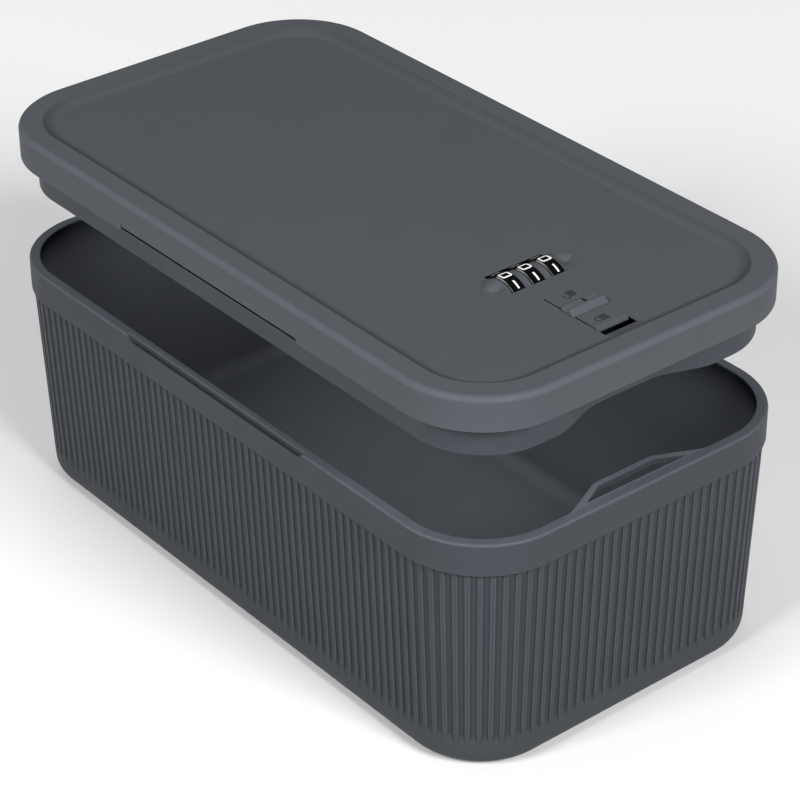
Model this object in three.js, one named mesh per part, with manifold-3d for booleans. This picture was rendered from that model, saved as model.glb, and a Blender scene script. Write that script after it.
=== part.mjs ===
// Lockable medication box: a tapered tub, and a lift-off lid that carries a
// three-wheel combination lock with a sliding latch.
// Millimetres. X is across the box, Y along it with the lock at -Y, Z up.
// The origin is the centre of the tub's bottom face. The lid is shown raised
// straight above the tub by LIFT; closed, it sits LIFT - SEAT lower.
import * as THREE from "three";
import { mergeVertices } from "three/addons/utils/BufferGeometryUtils.js";
import Module from "manifold-3d";

const wasm = await Module();
wasm.setup();

// ---------------------------------------------------------------- dimensions
const WIDTH = 165; // across the rim band
const LENGTH = 300; // along the rim band
const CORNER = 36.2; // outer corner radius of the rim band
const TUB_H = 102.6; // rim top above the ground
const BAND_H = 13.2; // height of the plain rim band
const BAND_STEP = 0.95; // the band stands this far proud of the body below it
const TAPER = 3.45; // further inset of the body from the band to the bottom
const BOTTOM_R = 8; // rounding of the bottom edge
const RIM_W = 4.6; // width of the rim's top face
const WALL_DRAFT = 3.0; // inner wall's inset at the floor, past its inset at the rim
const FLOOR_T = 2.8; // floor thickness
const FLUTE_D = 0.9; // the flutes between the upright ribs: depth
const FLUTE_W = 2.6; // width at the surface
const FLUTE_Z = 11; // where they fade out above the bottom
const FLUTES_X = 21; // ribs along the straight part of a short side
const FLUTES_Y = 52; // and of a long side
const FLUTES_C = 12; // and round a corner

const LIFT = 46; // how far the lid is raised in the pose that is modelled
const SEAT = 0.3; // gap between rim and lid when closed
const LID_H = 13.86; // lid wall's bottom edge to the top of its rim
const LID_EDGE = 2.2; // rounding of the lid's outer top edge
const LID_WALL = 2.4; // thickness of the lid's side wall
const DISH_Z = 11.36; // the lid's sunken top face, above the wall's bottom edge
const DISH_IN = 9.7; // inset of the crease where the sunken top begins
const DISH_W = 5.6; // width of the hollow curve from that crease to the level
const SKIN = 2.3; // thickness of the lid's top
const LINER_IN = 2.7; // inset of the liner's plate
const LINER_Z = 0.3; // underside of the liner's plate
const LINER_T = 2.0;
const SKIRT_IN = 6.5; // inset of the skirt's outer face
const SKIRT_T = 2.0;
const SKIRT_D = 13.5; // how far the skirt reaches below the wall's edge

const KEEP_OUT = 32.6; // half width of the keeper lip at its root
const KEEP_TOP = 14; // half width of its inner edge
const KEEP_Y = -137.1; // inner edge of the keeper lip
const KEEP_BAR = 2.4; // width of the bar along that edge
const KEEP_T = 2.2; // thickness of the lip
const NOTCH_Y = -136.6; // the skirt steps in to here, to pass the lip
const NOTCH_A = 14; // half width of the step's flat middle
const NOTCH_B = 36; // half width where the step starts

const DIAL_Y = -83.6; // spindle's axis
const DIAL_R = 11.5;
const DIAL_UP = 2.4; // how far a wheel stands above the dish
const DIAL_Z = DISH_Z + DIAL_UP - DIAL_R; // spindle's axis
const DIAL_W = 5.9;
const DIAL_PITCH = 9.5;
const CHEEK_X = 13.45; // outer face of the thin cheeks beside the outer wheels
const SPINDLE_R = 1.5;
const HUB_R = 4.0; // code sleeve inside the wheel
const FLANGE_R = 6.2; // its notched flange
const GAP = 0.3;

const GRIP = 53.5; // half length of the finger grips on the long sides
const SLIT_TOP = 1.9; // lid: slit over the liner's flange at the grips, its top
const SLIT_LOW = 1.15; // and its foot
const TRAVEL = 4.5; // slider and bolt travel, rearward (open) to forward (locked)

const A = WIDTH / 2,
  B = LENGTH / 2;

// ------------------------------------------------------------------- helpers
function solid(geometry) {
  geometry.deleteAttribute("normal");
  geometry.deleteAttribute("uv");
  const m = mergeVertices(geometry, 1e-4);
  const p = m.attributes.position.array;
  const t = [];
  let six = 0;
  for (let i = 0; i < m.index.count; i += 3) {
    const [a, b, c] = [0, 1, 2].map((k) => m.index.array[i + k]);
    if (a === b || b === c || a === c) continue; // at a lathe's pole
    t.push(a, b, c);
    const [u, v, w] = [a, b, c].map((k) =>
      new THREE.Vector3().fromArray(p, 3 * k),
    );
    six += u.dot(v.cross(w));
  }
  if (six < 0)
    for (let i = 0; i < t.length; i += 3)
      [t[i + 1], t[i + 2]] = [t[i + 2], t[i + 1]];
  return new wasm.Manifold(
    new wasm.Mesh({
      numProp: 3,
      vertProperties: new Float32Array(p),
      triVerts: new Uint32Array(t),
    }),
  );
}

function box(x0, x1, y0, y1, z0, z1) {
  return solid(
    new THREE.BoxGeometry(x1 - x0, y1 - y0, z1 - z0).translate(
      (x0 + x1) / 2,
      (y0 + y1) / 2,
      (z0 + z1) / 2,
    ),
  );
}

function rodX(r, x0, x1, y, z, seg = 24) {
  return solid(
    new THREE.CylinderGeometry(r, r, x1 - x0, seg)
      .rotateZ(Math.PI / 2)
      .translate((x0 + x1) / 2, y, z),
  );
}

function rodZ(r, z0, z1, x, y, seg = 16, rTop = r) {
  return solid(
    new THREE.CylinderGeometry(rTop, r, z1 - z0, seg)
      .rotateX(Math.PI / 2)
      .translate(x, y, (z0 + z1) / 2),
  );
}

function shapeOf(points) {
  return new THREE.Shape(points.map(([u, v]) => new THREE.Vector2(u, v)));
}

// An outline in plan, from z0 up to z1.
function prismZ(points, z0, z1) {
  return solid(
    new THREE.ExtrudeGeometry(shapeOf(points), {
      depth: z1 - z0,
      bevelEnabled: false,
    }).translate(0, 0, z0),
  );
}

// A profile in (y, z), from x0 to x1.
function prismX(points, x0, x1) {
  const turn = new THREE.Matrix4().makeBasis(
    new THREE.Vector3(0, 1, 0),
    new THREE.Vector3(0, 0, 1),
    new THREE.Vector3(1, 0, 0),
  );
  return solid(
    new THREE.ExtrudeGeometry(shapeOf(points), {
      depth: x1 - x0,
      bevelEnabled: false,
    })
      .applyMatrix4(turn)
      .translate(x0, 0, 0),
  );
}

// Rounded rectangle, inset from the rim band's outline, with the same number
// of points whatever the inset.
function outline(inset, seg = 8) {
  const a = A - inset,
    b = B - inset,
    r = Math.max(CORNER - inset, 1.5);
  const out = [];
  [
    [a - r, b - r],
    [r - a, b - r],
    [r - a, r - b],
    [a - r, r - b],
  ].forEach(([cx, cy], k) => {
    for (let i = 0; i <= seg; i++) {
      const t = ((k + i / seg) * Math.PI) / 2;
      out.push([cx + r * Math.cos(t), cy + r * Math.sin(t)]);
    }
  });
  return out;
}

// The skirt's outline steps inward at the front to pass the keeper lip.
function skirtOutline(inset) {
  const extra = inset - SKIRT_IN;
  const deep = NOTCH_Y + extra - (-B + inset);
  const pts = outline(inset);
  const step = [];
  const xs = [36, 32.5, 29, 25, 21, 17.5, 14];
  for (const x of xs) {
    const t = (NOTCH_B - x) / (NOTCH_B - NOTCH_A);
    const ease = (t + THREE.MathUtils.smoothstep(t, 0, 1)) / 2;
    step.push([-x, -B + inset + deep * ease]);
  }
  const at = 27; // the last corner starts here
  return [
    ...pts.slice(0, at),
    ...step,
    ...step.reverse().map(([x, y]) => [-x, y]),
    ...pts.slice(at),
  ];
}

// Rings of [inset, z] joined into one closed solid, from the bottom up.
function loft(rings, seg = 8) {
  const loops = rings.map(([inset, z]) =>
    outline(inset, seg).map(([x, y]) => [x, y, z]),
  );
  const n = loops[0].length;
  const index = [];
  for (let j = 0; j + 1 < loops.length; j++)
    for (let i = 0; i < n; i++) {
      const a = j * n + i,
        b = j * n + ((i + 1) % n);
      index.push(a, b, b + n, a, b + n, a + n);
    }
  const cap = THREE.ShapeUtils.triangulateShape(
    loops[0].map(([x, y]) => new THREE.Vector2(x, y)),
    [],
  );
  const top = (loops.length - 1) * n;
  for (const [i, j, k] of cap) {
    index.push(k, j, i);
    index.push(top + i, top + j, top + k);
  }
  const g = new THREE.BufferGeometry();
  g.setAttribute(
    "position",
    new THREE.Float32BufferAttribute(loops.flat(2), 3),
  );
  g.setIndex(index);
  return solid(g);
}

const finish = {
  tub: [0x45484c, 0.55, 0],
  lid: [0x54575b, 0.52, 0],
  liner: [0x4a4d51, 0.55, 0],
  lock: [0x4f5256, 0.5, 0],
  dial: [0x0b0b0c, 0.35, 0],
  hub: [0xb9bab6, 0.5, 0],
  steel: [0xb4b6b8, 0.3, 1],
  spring: [0x9a9ca0, 0.35, 1],
};

function place(group, name, body, [color, roughness, metalness]) {
  const m = body.getMesh();
  const g = new THREE.BufferGeometry();
  g.setAttribute(
    "position",
    new THREE.BufferAttribute(new Float32Array(m.vertProperties), 3),
  );
  g.setIndex(new THREE.BufferAttribute(new Uint32Array(m.triVerts), 1));
  g.computeVertexNormals();
  const mesh = new THREE.Mesh(
    g,
    new THREE.MeshStandardMaterial({ color, roughness, metalness }),
  );
  mesh.name = name;
  group.add(mesh);
  return mesh;
}

const part = new THREE.Group();
const lid = new THREE.Group(); // z = 0 is the lid wall's bottom edge
lid.position.z = TUB_H + LIFT;
part.add(lid);

// ------------------------------------------------------------------- the tub
{
  const H = TUB_H,
    low = H - BAND_H;
  const at = (z) => BAND_STEP + TAPER * (1 - z / low);
  const outer = [];
  for (let i = 0; i <= 4; i++) {
    const t = (i / 4) * (Math.PI / 2);
    const z = BOTTOM_R * (1 - Math.cos(t));
    outer.push([at(z) + BOTTOM_R * (1 - Math.sin(t)), z]);
  }
  outer.push([at(low), low], [0, low], [0, H - 1], [0.3, H - 0.3], [1, H]);
  const inAt = (z) => RIM_W + (WALL_DRAFT * (H - z)) / H;
  const inner = [];
  for (let i = 0; i <= 3; i++) {
    const t = (i / 3) * (Math.PI / 2);
    const z = FLOOR_T + 6 * (1 - Math.cos(t));
    inner.push([inAt(z) + 6 * (1 - Math.sin(t)), z]);
  }
  inner.push([inAt(H - 0.6), H - 0.6], [RIM_W - 0.5, H], [RIM_W - 0.5, H + 1]);
  let tub = loft(outer, FLUTES_C).subtract(loft(inner, FLUTES_C));

  // Flutes below the band, all the way round; the ribs are what is left
  // between them. Each follows the wall's taper and runs out at its foot.
  const mark = (x, y, nx, ny) => {
    const rows = [];
    for (const [d, z0] of [
      [FLUTE_D, FLUTE_Z + 3.5],
      [-1, FLUTE_Z - 5],
    ])
      for (const z of [z0, low]) {
        const k = at(z) + d;
        const w = (FLUTE_W / 2) * (1 - (0.22 * d) / FLUTE_D);
        for (const s of [-1, 1])
          rows.push([x - nx * k - ny * w * s, y - ny * k + nx * w * s, z]);
      }
    const g = new THREE.BufferGeometry();
    g.setAttribute(
      "position",
      new THREE.Float32BufferAttribute(rows.flat(), 3),
    );
    // prettier-ignore
    g.setIndex([0,1,3, 0,3,2, 4,6,7, 4,7,5, 0,4,5, 0,5,1,
                2,3,7, 2,7,6, 0,2,6, 0,6,4, 1,5,7, 1,7,3]);
    tub = tub.subtract(solid(g));
  };
  const r = CORNER,
    ax = A - r,
    by = B - r;
  for (let i = 1; i < FLUTES_X; i++)
    for (const s of [-1, 1]) mark(-ax + (2 * ax * i) / FLUTES_X, s * B, 0, s);
  for (let i = 1; i < FLUTES_Y; i++)
    for (const s of [-1, 1]) mark(s * A, -by + (2 * by * i) / FLUTES_Y, s, 0);
  for (const [sx, sy, k] of [
    [1, 1, 0],
    [-1, 1, 1],
    [-1, -1, 2],
    [1, -1, 3],
  ])
    for (let i = 0; i <= FLUTES_C; i++) {
      const t = ((k + i / FLUTES_C) * Math.PI) / 2;
      const c = Math.cos(t),
        n = Math.sin(t);
      mark(sx * ax + r * c, sy * by + r * n, c, n);
    }

  // Keeper lip: a flat frame in the plane of the rim that reaches inward at
  // the front. The latch bolt goes under its bar.
  const root = -B + 4; // inside the wall
  tub = tub.add(
    prismZ(
      [
        [-KEEP_OUT, root],
        [KEEP_OUT, root],
        [KEEP_TOP, KEEP_Y],
        [-KEEP_TOP, KEEP_Y],
      ],
      H - KEEP_T,
      H,
    ),
  );
  const slot = [
    [-24.3, -144.9],
    [24.3, -144.9],
    [13.8, KEEP_Y - KEEP_BAR],
    [-13.8, KEEP_Y - KEEP_BAR],
  ];
  tub = tub.subtract(prismZ(slot, H - 6, H + 1));

  // Finger grips: the rim's outer edge drops on both long sides, with a
  // narrow groove behind it.
  const e = 2.3;
  const grip = [
    [-GRIP - 3, H + 1],
    [-GRIP - 2.4, H - 0.1],
    [-GRIP - 1.2, H - e * 0.45],
    [-GRIP - 0.4, H - e * 0.85],
    [-GRIP + 1.2, H - e],
    [GRIP - 1.2, H - e],
    [GRIP + 0.4, H - e * 0.85],
    [GRIP + 1.2, H - e * 0.45],
    [GRIP + 2.4, H - 0.1],
    [GRIP + 3, H + 1],
  ];
  for (const s of [-1, 1]) {
    const [x0, x1] = [s * (A - 1.7), s * (A + 1)].sort((p, q) => p - q);
    tub = tub.subtract(prismX(grip, x0, x1));
    const [g0, g1] = [s * (A - 1.7), s * (A - 0.8)].sort((p, q) => p - q);
    tub = tub.subtract(box(g0, g1, -GRIP + 1, GRIP - 1, H - e - 1.4, H + 1));
  }

  // Rear sockets for the lid's hooks: one wide slot with a narrower one below.
  const back = B - RIM_W;
  tub = tub.subtract(box(-32, 32, back - 2, back + 2.4, H - 5.9, H - 4.3));
  tub = tub.subtract(box(-21, 21, back - 2, back + 2.4, H - 10.6, H - 8.4));
  place(part, "base_tub", tub, finish.tub);
}

// ------------------------------------------------------------ the lid's shell
const linerScrews = [
  [-62, 112],
  [62, 112],
  [-68, 10],
  [68, 10],
  [-60, -108],
  [60, -108],
];
const earScrews = [
  [-23.5, DIAL_Y + 9.6],
  [23.5, DIAL_Y + 9.6],
  [-23.5, DIAL_Y - 9.6],
  [23.5, DIAL_Y - 9.6],
];
const trackScrews = [
  [-11, -104],
  [11, -104],
];
const recess = { x: 7.8, y0: -133.9, y1: -101 };
{
  const outer = [
    [0.4, 0],
    [0, 0.4],
    [0, LID_H - LID_EDGE],
    [LID_EDGE * 0.134, LID_H - LID_EDGE * 0.5],
    [LID_EDGE * 0.5, LID_H - LID_EDGE * 0.134],
    [LID_EDGE, LID_H],
    [DISH_IN, LID_H],
    // A hollow curve, steepest at the crease and running out level.
    ...[0.09, 0.21, 0.37, 0.57, 0.79, 1].map((t) => [
      DISH_IN + DISH_W * t,
      DISH_Z + (LID_H - DISH_Z) * (1 - t) * (1 - t),
    ]),
  ];
  const under = DISH_Z - SKIN;
  const inner = [
    [LID_WALL, -1],
    [LID_WALL, LID_H - SKIN - 0.8],
    [LID_WALL + 0.8, LID_H - SKIN],
    [DISH_IN - 0.4, LID_H - SKIN],
    [DISH_IN + 3, under],
  ];
  let shell = loft(outer).subtract(loft(inner));

  // Bosses that the liner, the lock housing and the track screw into.
  for (const [x, y] of linerScrews)
    shell = shell.add(rodZ(2.8, 2.6, under + 0.5, x, y, 14));
  for (const [x, y] of earScrews)
    shell = shell.add(rodZ(2.6, 4.0, under + 0.5, x, y, 14));
  for (const [x, y] of linerScrews)
    shell = shell.subtract(rodZ(1.5, 2, under - 0.6, x, y, 10));
  for (const [x, y] of earScrews)
    shell = shell.subtract(rodZ(1.5, 3, under - 0.4, x, y, 10));
  for (const [x, y] of trackScrews)
    shell = shell.subtract(rodZ(1.4, under - 1, under + 1.5, x, y, 10));

  // Eye-shaped thumb recess, with the window that the wheels come through.
  const scoop = new THREE.SphereGeometry(1, 28, 14)
    .rotateZ(Math.PI / 2)
    .scale(21.6, 5.8, 1.7)
    .translate(0, DIAL_Y, DISH_Z + 0.15);
  shell = shell.subtract(solid(scoop));
  shell = shell.subtract(
    rodX(DIAL_R + 0.45, -CHEEK_X - GAP, CHEEK_X + GAP, DIAL_Y, DIAL_Z, 40),
  );
  shell = shell.subtract(
    box(-15.5, 15.5, DIAL_Y - 9.9, DIAL_Y + 9.9, under - 1, under + 0.4),
  );

  // Window over the slider's track.
  shell = shell.subtract(
    box(-recess.x, recess.x, recess.y0, recess.y1, under - 1, LID_H + 1),
  );

  // Finger grips: the long walls' bottom edges stop short. The liner's flange
  // fills most of the cut and leaves a slit, with a short upright end.
  for (const s of [-1, 1]) {
    const [x0, x1] = [s * (A - LID_WALL - 0.2), s * (A + 1)].sort(
      (p, q) => p - q,
    );
    shell = shell.subtract(box(x0, x1, -GRIP - 1, GRIP + 1, -1, SLIT_TOP));
    shell = shell.subtract(
      box(x0, x1, GRIP + 0.4, GRIP + 1, 0, SLIT_TOP + 1.4),
    );
  }
  place(lid, "lid_shell", shell, finish.lid);
}

// --------------------------------------------------- the liner and its skirt
const coverScrews = [
  [-29.6, -70],
  [29.6, -70],
  [-29.6, -126],
  [29.6, -126],
];
const OPEN_X = 26.6; // opening over the dials
const OPEN_X2 = 16.5; // opening over the latch
{
  const top = LINER_Z + LINER_T;
  let liner = prismZ(outline(LINER_IN), LINER_Z, top);
  liner = liner.add(
    prismZ(skirtOutline(SKIRT_IN), -SKIRT_D, LINER_Z + 0.4).subtract(
      prismZ(skirtOutline(SKIRT_IN + SKIRT_T), -SKIRT_D - 1, LINER_Z),
    ),
  );
  // Flange with an upturned lip, under the lid wall's edge at the grips.
  for (const s of [-1, 1]) {
    const [f0, f1] = [s * (A - 3.2), s * (A - 0.15)].sort((p, q) => p - q);
    const [l0, l1] = [s * (A - 0.55), s * (A - 0.15)].sort((p, q) => p - q);
    const y = GRIP + 0.7;
    liner = liner.add(box(f0, f1, -y, y, 0, 0.6));
    liner = liner.add(box(l0, l1, -y, y, 0, SLIT_LOW));
  }
  for (const [x, y] of coverScrews)
    liner = liner.add(rodZ(2.8, top - 0.3, 7.2, x, y, 14));
  liner = liner.subtract(
    box(-OPEN_X, OPEN_X, -99.5, -66.8, LINER_Z - 1, top + 1),
  );
  liner = liner.subtract(
    box(-OPEN_X2, OPEN_X2, -132, -99, LINER_Z - 1, top + 1),
  );
  for (const [x, y] of linerScrews)
    liner = liner.subtract(rodZ(1.5, LINER_Z - 1, top + 1, x, y, 12));
  for (const [x, y] of coverScrews)
    liner = liner.subtract(rodZ(1.3, LINER_Z - 1, 6, x, y, 12));
  // Opening that the latch bolt comes through.
  liner = liner.subtract(box(-7.5, 9, -137.5, -134, -10.1, -2.5));
  // Hook noses at the rear.
  for (const s of [-1, 1])
    liner = liner.add(
      prismX(
        [
          [B - SKIRT_IN - 1, -7.0],
          [B - RIM_W - 0.45, -5.7],
          [B - RIM_W - 0.45, -4.9],
          [B - SKIRT_IN - 1, -4.7],
        ],
        s * 15 - 6,
        s * 15 + 6,
      ),
    );
  place(lid, "lid_liner", liner, finish.liner);
}

// ---------------------------------------------------- lock housing and dials
const wheelX = [-DIAL_PITCH, 0, DIAL_PITCH];
const SIDE = DIAL_W / 2; // a wheel's centre to its right face
const FRAME_X = 19.6;
const FRAME_Y0 = DIAL_Y - 13.8,
  FRAME_Y1 = DIAL_Y + 14.2;
const FRAME_Z0 = -9.6,
  FRAME_Z1 = DISH_Z - SKIN - GAP;
{
  let frame = box(-FRAME_X, FRAME_X, FRAME_Y0, FRAME_Y1, FRAME_Z0, FRAME_Z1);
  frame = frame.subtract(
    box(-15.5, 15.5, DIAL_Y - 12, DIAL_Y + 12.8, FRAME_Z0 - 1, FRAME_Z1 + 1),
  );
  // Arched webs either side of every wheel, a little lower than the wheels.
  const half = DIAL_W / 2 + GAP;
  const webs = [
    [-15.6, -DIAL_PITCH - half],
    [-DIAL_PITCH + half, -half],
    [half, DIAL_PITCH - half],
    [DIAL_PITCH + half, 15.6],
  ];
  for (const [x0, x1] of webs) {
    const end = x1 > 15 ? 15.2 : x1,
      start = x0 < -15 ? -15.2 : x0;
    const a0 = Math.max(start, -CHEEK_X),
      a1 = Math.min(end, CHEEK_X);
    let web = rodX(DIAL_R - 0.9, a0, a1, DIAL_Y, DIAL_Z, 40).add(
      box(start, end, DIAL_Y - 12.2, DIAL_Y + 13, -4, FRAME_Z1 - 1),
    );
    web = web.subtract(rodX(7.1, start - 1, end + 1, DIAL_Y, DIAL_Z, 24));
    web = web.subtract(
      box(start - 1, end + 1, DIAL_Y - 7.1, DIAL_Y + 7.1, -12, DIAL_Z),
    );
    web = web.subtract(
      box(start - 1, end + 1, DIAL_Y - 12, DIAL_Y + 12, -14, -3.9),
    );
    frame = frame.add(web);
  }
  // Side pads tie the outer webs to the frame's side walls.
  frame = frame.add(
    box(-15.8, -15, DIAL_Y - 12.2, DIAL_Y - 8.5, -3.5, FRAME_Z1 - 1.2),
  );
  frame = frame.add(
    box(15, 15.8, DIAL_Y - 12.2, DIAL_Y - 8.5, -3.5, FRAME_Z1 - 1.2),
  );
  // Ears for the four screws.
  for (const [x, y] of earScrews) {
    const s = Math.sign(x);
    const [x0, x1] = [s * (FRAME_X - 1), s * 26.3].sort((p, q) => p - q);
    frame = frame.add(box(x0, x1, y - 3, y + 3, 1.7, 3.7));
  }
  for (const [x, y] of earScrews)
    frame = frame.subtract(rodZ(1.5, 0, 5, x, y, 12));
  // Spindle bore, and slots for the fence's three fingers.
  frame = frame.subtract(
    rodX(SPINDLE_R + GAP, -FRAME_X - 1, FRAME_X + 1, DIAL_Y, DIAL_Z, 20),
  );
  for (const x of wheelX)
    frame = frame.subtract(
      box(x + SIDE + 0.05, x + SIDE + 2.45, FRAME_Y0 - 1, DIAL_Y - 6, 0.9, 3.6),
    );
  // Slot for the detent spring.
  frame = frame.subtract(
    box(-14.6, 14.6, DIAL_Y + 11.75, DIAL_Y + 12.9, -10.6, 4.6),
  );
  place(lid, "lock_housing", frame, finish.lock);

  // Three number wheels: a rim with a web, chamfered at both faces.
  wheelX.forEach((x, i) => {
    const w = DIAL_W / 2;
    const p = [
      [HUB_R + GAP, -w],
      [DIAL_R - 0.5, -w],
      [DIAL_R, -w + 0.5],
      [DIAL_R, w - 0.3],
      [DIAL_R - 0.3, w],
      [HUB_R + GAP, w],
      [HUB_R + GAP, -w],
    ].map(([r, h]) => new THREE.Vector2(r, h));
    // The tread is round at the window's clearance, so it has 40 facets.
    const wheel = solid(
      new THREE.LatheGeometry(p, 40)
        .rotateZ(-Math.PI / 2)
        .translate(x, DIAL_Y, DIAL_Z),
    );
    place(lid, "dial_wheel_" + (i + 1), wheel, finish.dial);

    // Code sleeve inside each wheel, with a gate in its flange.
    let hub = rodX(HUB_R, x - w + 0.2, x + w + 0.5, DIAL_Y, DIAL_Z, 20).add(
      rodX(FLANGE_R, x + w + GAP, x + w + 2.1, DIAL_Y, DIAL_Z, 24),
    );
    hub = hub.subtract(
      rodX(SPINDLE_R + GAP, x - 9, x + 9, DIAL_Y, DIAL_Z, 20),
    );
    hub = hub.subtract(
      box(
        x + w,
        x + w + 3,
        DIAL_Y - FLANGE_R - 1,
        DIAL_Y - FLANGE_R + 1.8,
        DIAL_Z - 1.1,
        DIAL_Z + 1.1,
      ),
    );
    place(lid, "code_hub_" + (i + 1), hub, finish.hub);
  });

  // Spindle with a head at the left; its coil spring and, at the right, a clip.
  const spindle = [
    [0, -25.2],
    [2.7, -25.2],
    [2.9, -24.9],
    [2.9, -24.0],
    [SPINDLE_R, -24.0],
    [SPINDLE_R, 22.0],
    [SPINDLE_R - 0.4, 22.5],
    [0, 22.5],
  ].map(([r, h]) => new THREE.Vector2(r, h));
  place(
    lid,
    "dial_spindle",
    solid(
      new THREE.LatheGeometry(spindle, 20)
        .rotateZ(-Math.PI / 2)
        .translate(0, DIAL_Y, DIAL_Z),
    ),
    finish.steel,
  );
  place(
    lid,
    "spindle_clip",
    rodX(3.4, 20.1, 20.9, DIAL_Y, DIAL_Z, 20).subtract(
      rodX(SPINDLE_R + GAP, 19, 22, DIAL_Y, DIAL_Z, 20),
    ),
    finish.spring,
  );
  const coil = [];
  const turns = 3,
    steps = 42;
  for (let i = 0; i <= steps; i++) {
    const t = i / steps;
    const g = t * turns * 2 * Math.PI;
    coil.push(
      new THREE.Vector3(
        -20.3 - 3.0 * t,
        DIAL_Y + 2.35 * Math.cos(g),
        DIAL_Z + 2.35 * Math.sin(g),
      ),
    );
  }
  const wire = [];
  for (let i = 0; i < 6; i++)
    wire.push([0.28 * Math.cos((i * Math.PI) / 3), 0.28 * Math.sin((i * Math.PI) / 3)]);
  place(
    lid,
    "spindle_spring",
    solid(
      new THREE.ExtrudeGeometry(shapeOf(wire), {
        steps,
        bevelEnabled: false,
        extrudePath: new THREE.CatmullRomCurve3(coil),
      }),
    ),
    finish.spring,
  );

  // Leaf spring with one tongue pressing on each wheel.
  const leaf = [[-14.2, -9.4], [14.2, -9.4]];
  for (const x of [...wheelX].reverse())
    leaf.push([x + 2.6, -6.8], [x + 2.6, 4.2], [x - 2.6, 4.2], [x - 2.6, -6.8]);
  const tidy = [
    [-14.2, -9.4],
    [14.2, -9.4],
    [14.2, -6.8],
    ...leaf.slice(2),
    [-14.2, -6.8],
  ];
  const up = new THREE.Matrix4().makeBasis(
    new THREE.Vector3(1, 0, 0),
    new THREE.Vector3(0, 0, 1),
    new THREE.Vector3(0, -1, 0),
  );
  place(
    lid,
    "detent_spring",
    solid(
      new THREE.ExtrudeGeometry(shapeOf(tidy), {
        depth: 0.4,
        bevelEnabled: false,
      })
        .applyMatrix4(up)
        .translate(0, DIAL_Y + 12.55, 0),
    ),
    finish.spring,
  );
}

// ------------------------------------------------- slider, bolt, track, fence
const STEM_Y0 = -113.7,
  STEM_Y1 = -110.4;
const STEM_C = (STEM_Y0 + STEM_Y1) / 2;
{
  // Track plate under the lid's top; its pad fills the window and ends at the
  // front in a round nose, with the plate cut out under and before it.
  const under = FRAME_Z1;
  const padTop = DISH_Z - 0.12;
  const NOSE_T = 1.9;
  let track = box(-14.5, 14.5, -134.2, -99.2, under - 2.2, under);
  track = track.add(
    prismX(
      [
        [-125.5, under - 0.5],
        [-125.5, padTop - NOSE_T],
        [-129.2, padTop - NOSE_T],
        [-129.2, padTop - 1.3],
        [-128.9, padTop - 0.75],
        [-128.3, padTop - 0.3],
        [-127.2, padTop],
        [-101.4, padTop],
        [-101.4, under - 0.5],
      ],
      -recess.x + 0.7,
      recess.x - 0.3,
    ),
  );
  track = track.subtract(
    box(-2.8, 2.8, STEM_Y0 - TRAVEL - 0.3, STEM_Y1 + 0.3, 5, 14),
  );
  track = track.subtract(box(-7.5, 7.5, -135, -125.5, 5, padTop - NOSE_T));
  for (const [x, y] of trackScrews)
    track = track.subtract(rodZ(1.5, 5, under + 1, x, y, 12));
  place(lid, "track_plate", track, finish.lock);

  // Slider button: a low wedge with a ridge along its front, on a stem.
  const z = DISH_Z + GAP;
  let button = prismX(
    [
      [-118.2, z],
      [-110, z],
      [-110, z + 0.55],
      [-111, z + 0.75],
      [-115.4, z + 1.15],
      [-116.2, z + 2.05],
      [-117.2, z + 2.1],
      [-117.7, z + 1.8],
    ],
    -8.5,
    8.5,
  );
  button = button.add(box(-2.4, 2.4, STEM_Y0, STEM_Y1, 5.6, z + 0.3));
  button = button.subtract(rodZ(1.2, 5, 11.6, 0, STEM_C, 12));
  place(lid, "slider_button", button, finish.lid);

  // Latch bolt: a plate on the slider's stem, a riser and a nose that goes
  // under the keeper's bar.
  let bolt = prismX(
    [
      [-136.3, -9.6],
      [-132.6, -9.6],
      [-132.6, -4.9],
      [-121.4, -4.9],
      [-121.4, 3.3],
      [-104, 3.3],
      [-104, 5.3],
      [-123.4, 5.3],
      [-123.4, -2.9],
      [-135.6, -2.9],
      [-136.3, -3.5],
    ],
    -7.1,
    7.1,
  );
  bolt = bolt.subtract(rodZ(1.3, 2, 7, 0, STEM_C, 12));
  place(lid, "latch_bolt", bolt, finish.lock);

  // Fence: a comb whose fingers face the hubs' gates.
  const tip = DIAL_Y - FLANGE_R - 0.5;
  let fence = box(-14.8, 14.8, -116.5, -99.6, 1.5, 3.0);
  for (const x of wheelX)
    fence = fence.add(box(x + SIDE + 0.45, x + SIDE + 2.05, -100, tip, 1.5, 3.0));
  fence = fence.subtract(rodZ(1.3, 0, 4, 0, STEM_C, 12));
  place(lid, "fence_comb", fence, finish.steel);

  const screw = [
    [0, -0.3],
    [2.1, -0.3],
    [2.3, 0],
    [2.3, 1.2],
    [0.9, 1.2],
    [0.9, 10.6],
    [0.4, 11.1],
    [0, 11.1],
  ].map(([r, h]) => new THREE.Vector2(r, h));
  place(
    lid,
    "slider_screw",
    solid(
      new THREE.LatheGeometry(screw, 14)
        .rotateX(Math.PI / 2)
        .translate(0, STEM_C, 0),
    ),
    finish.steel,
  );
}

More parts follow.
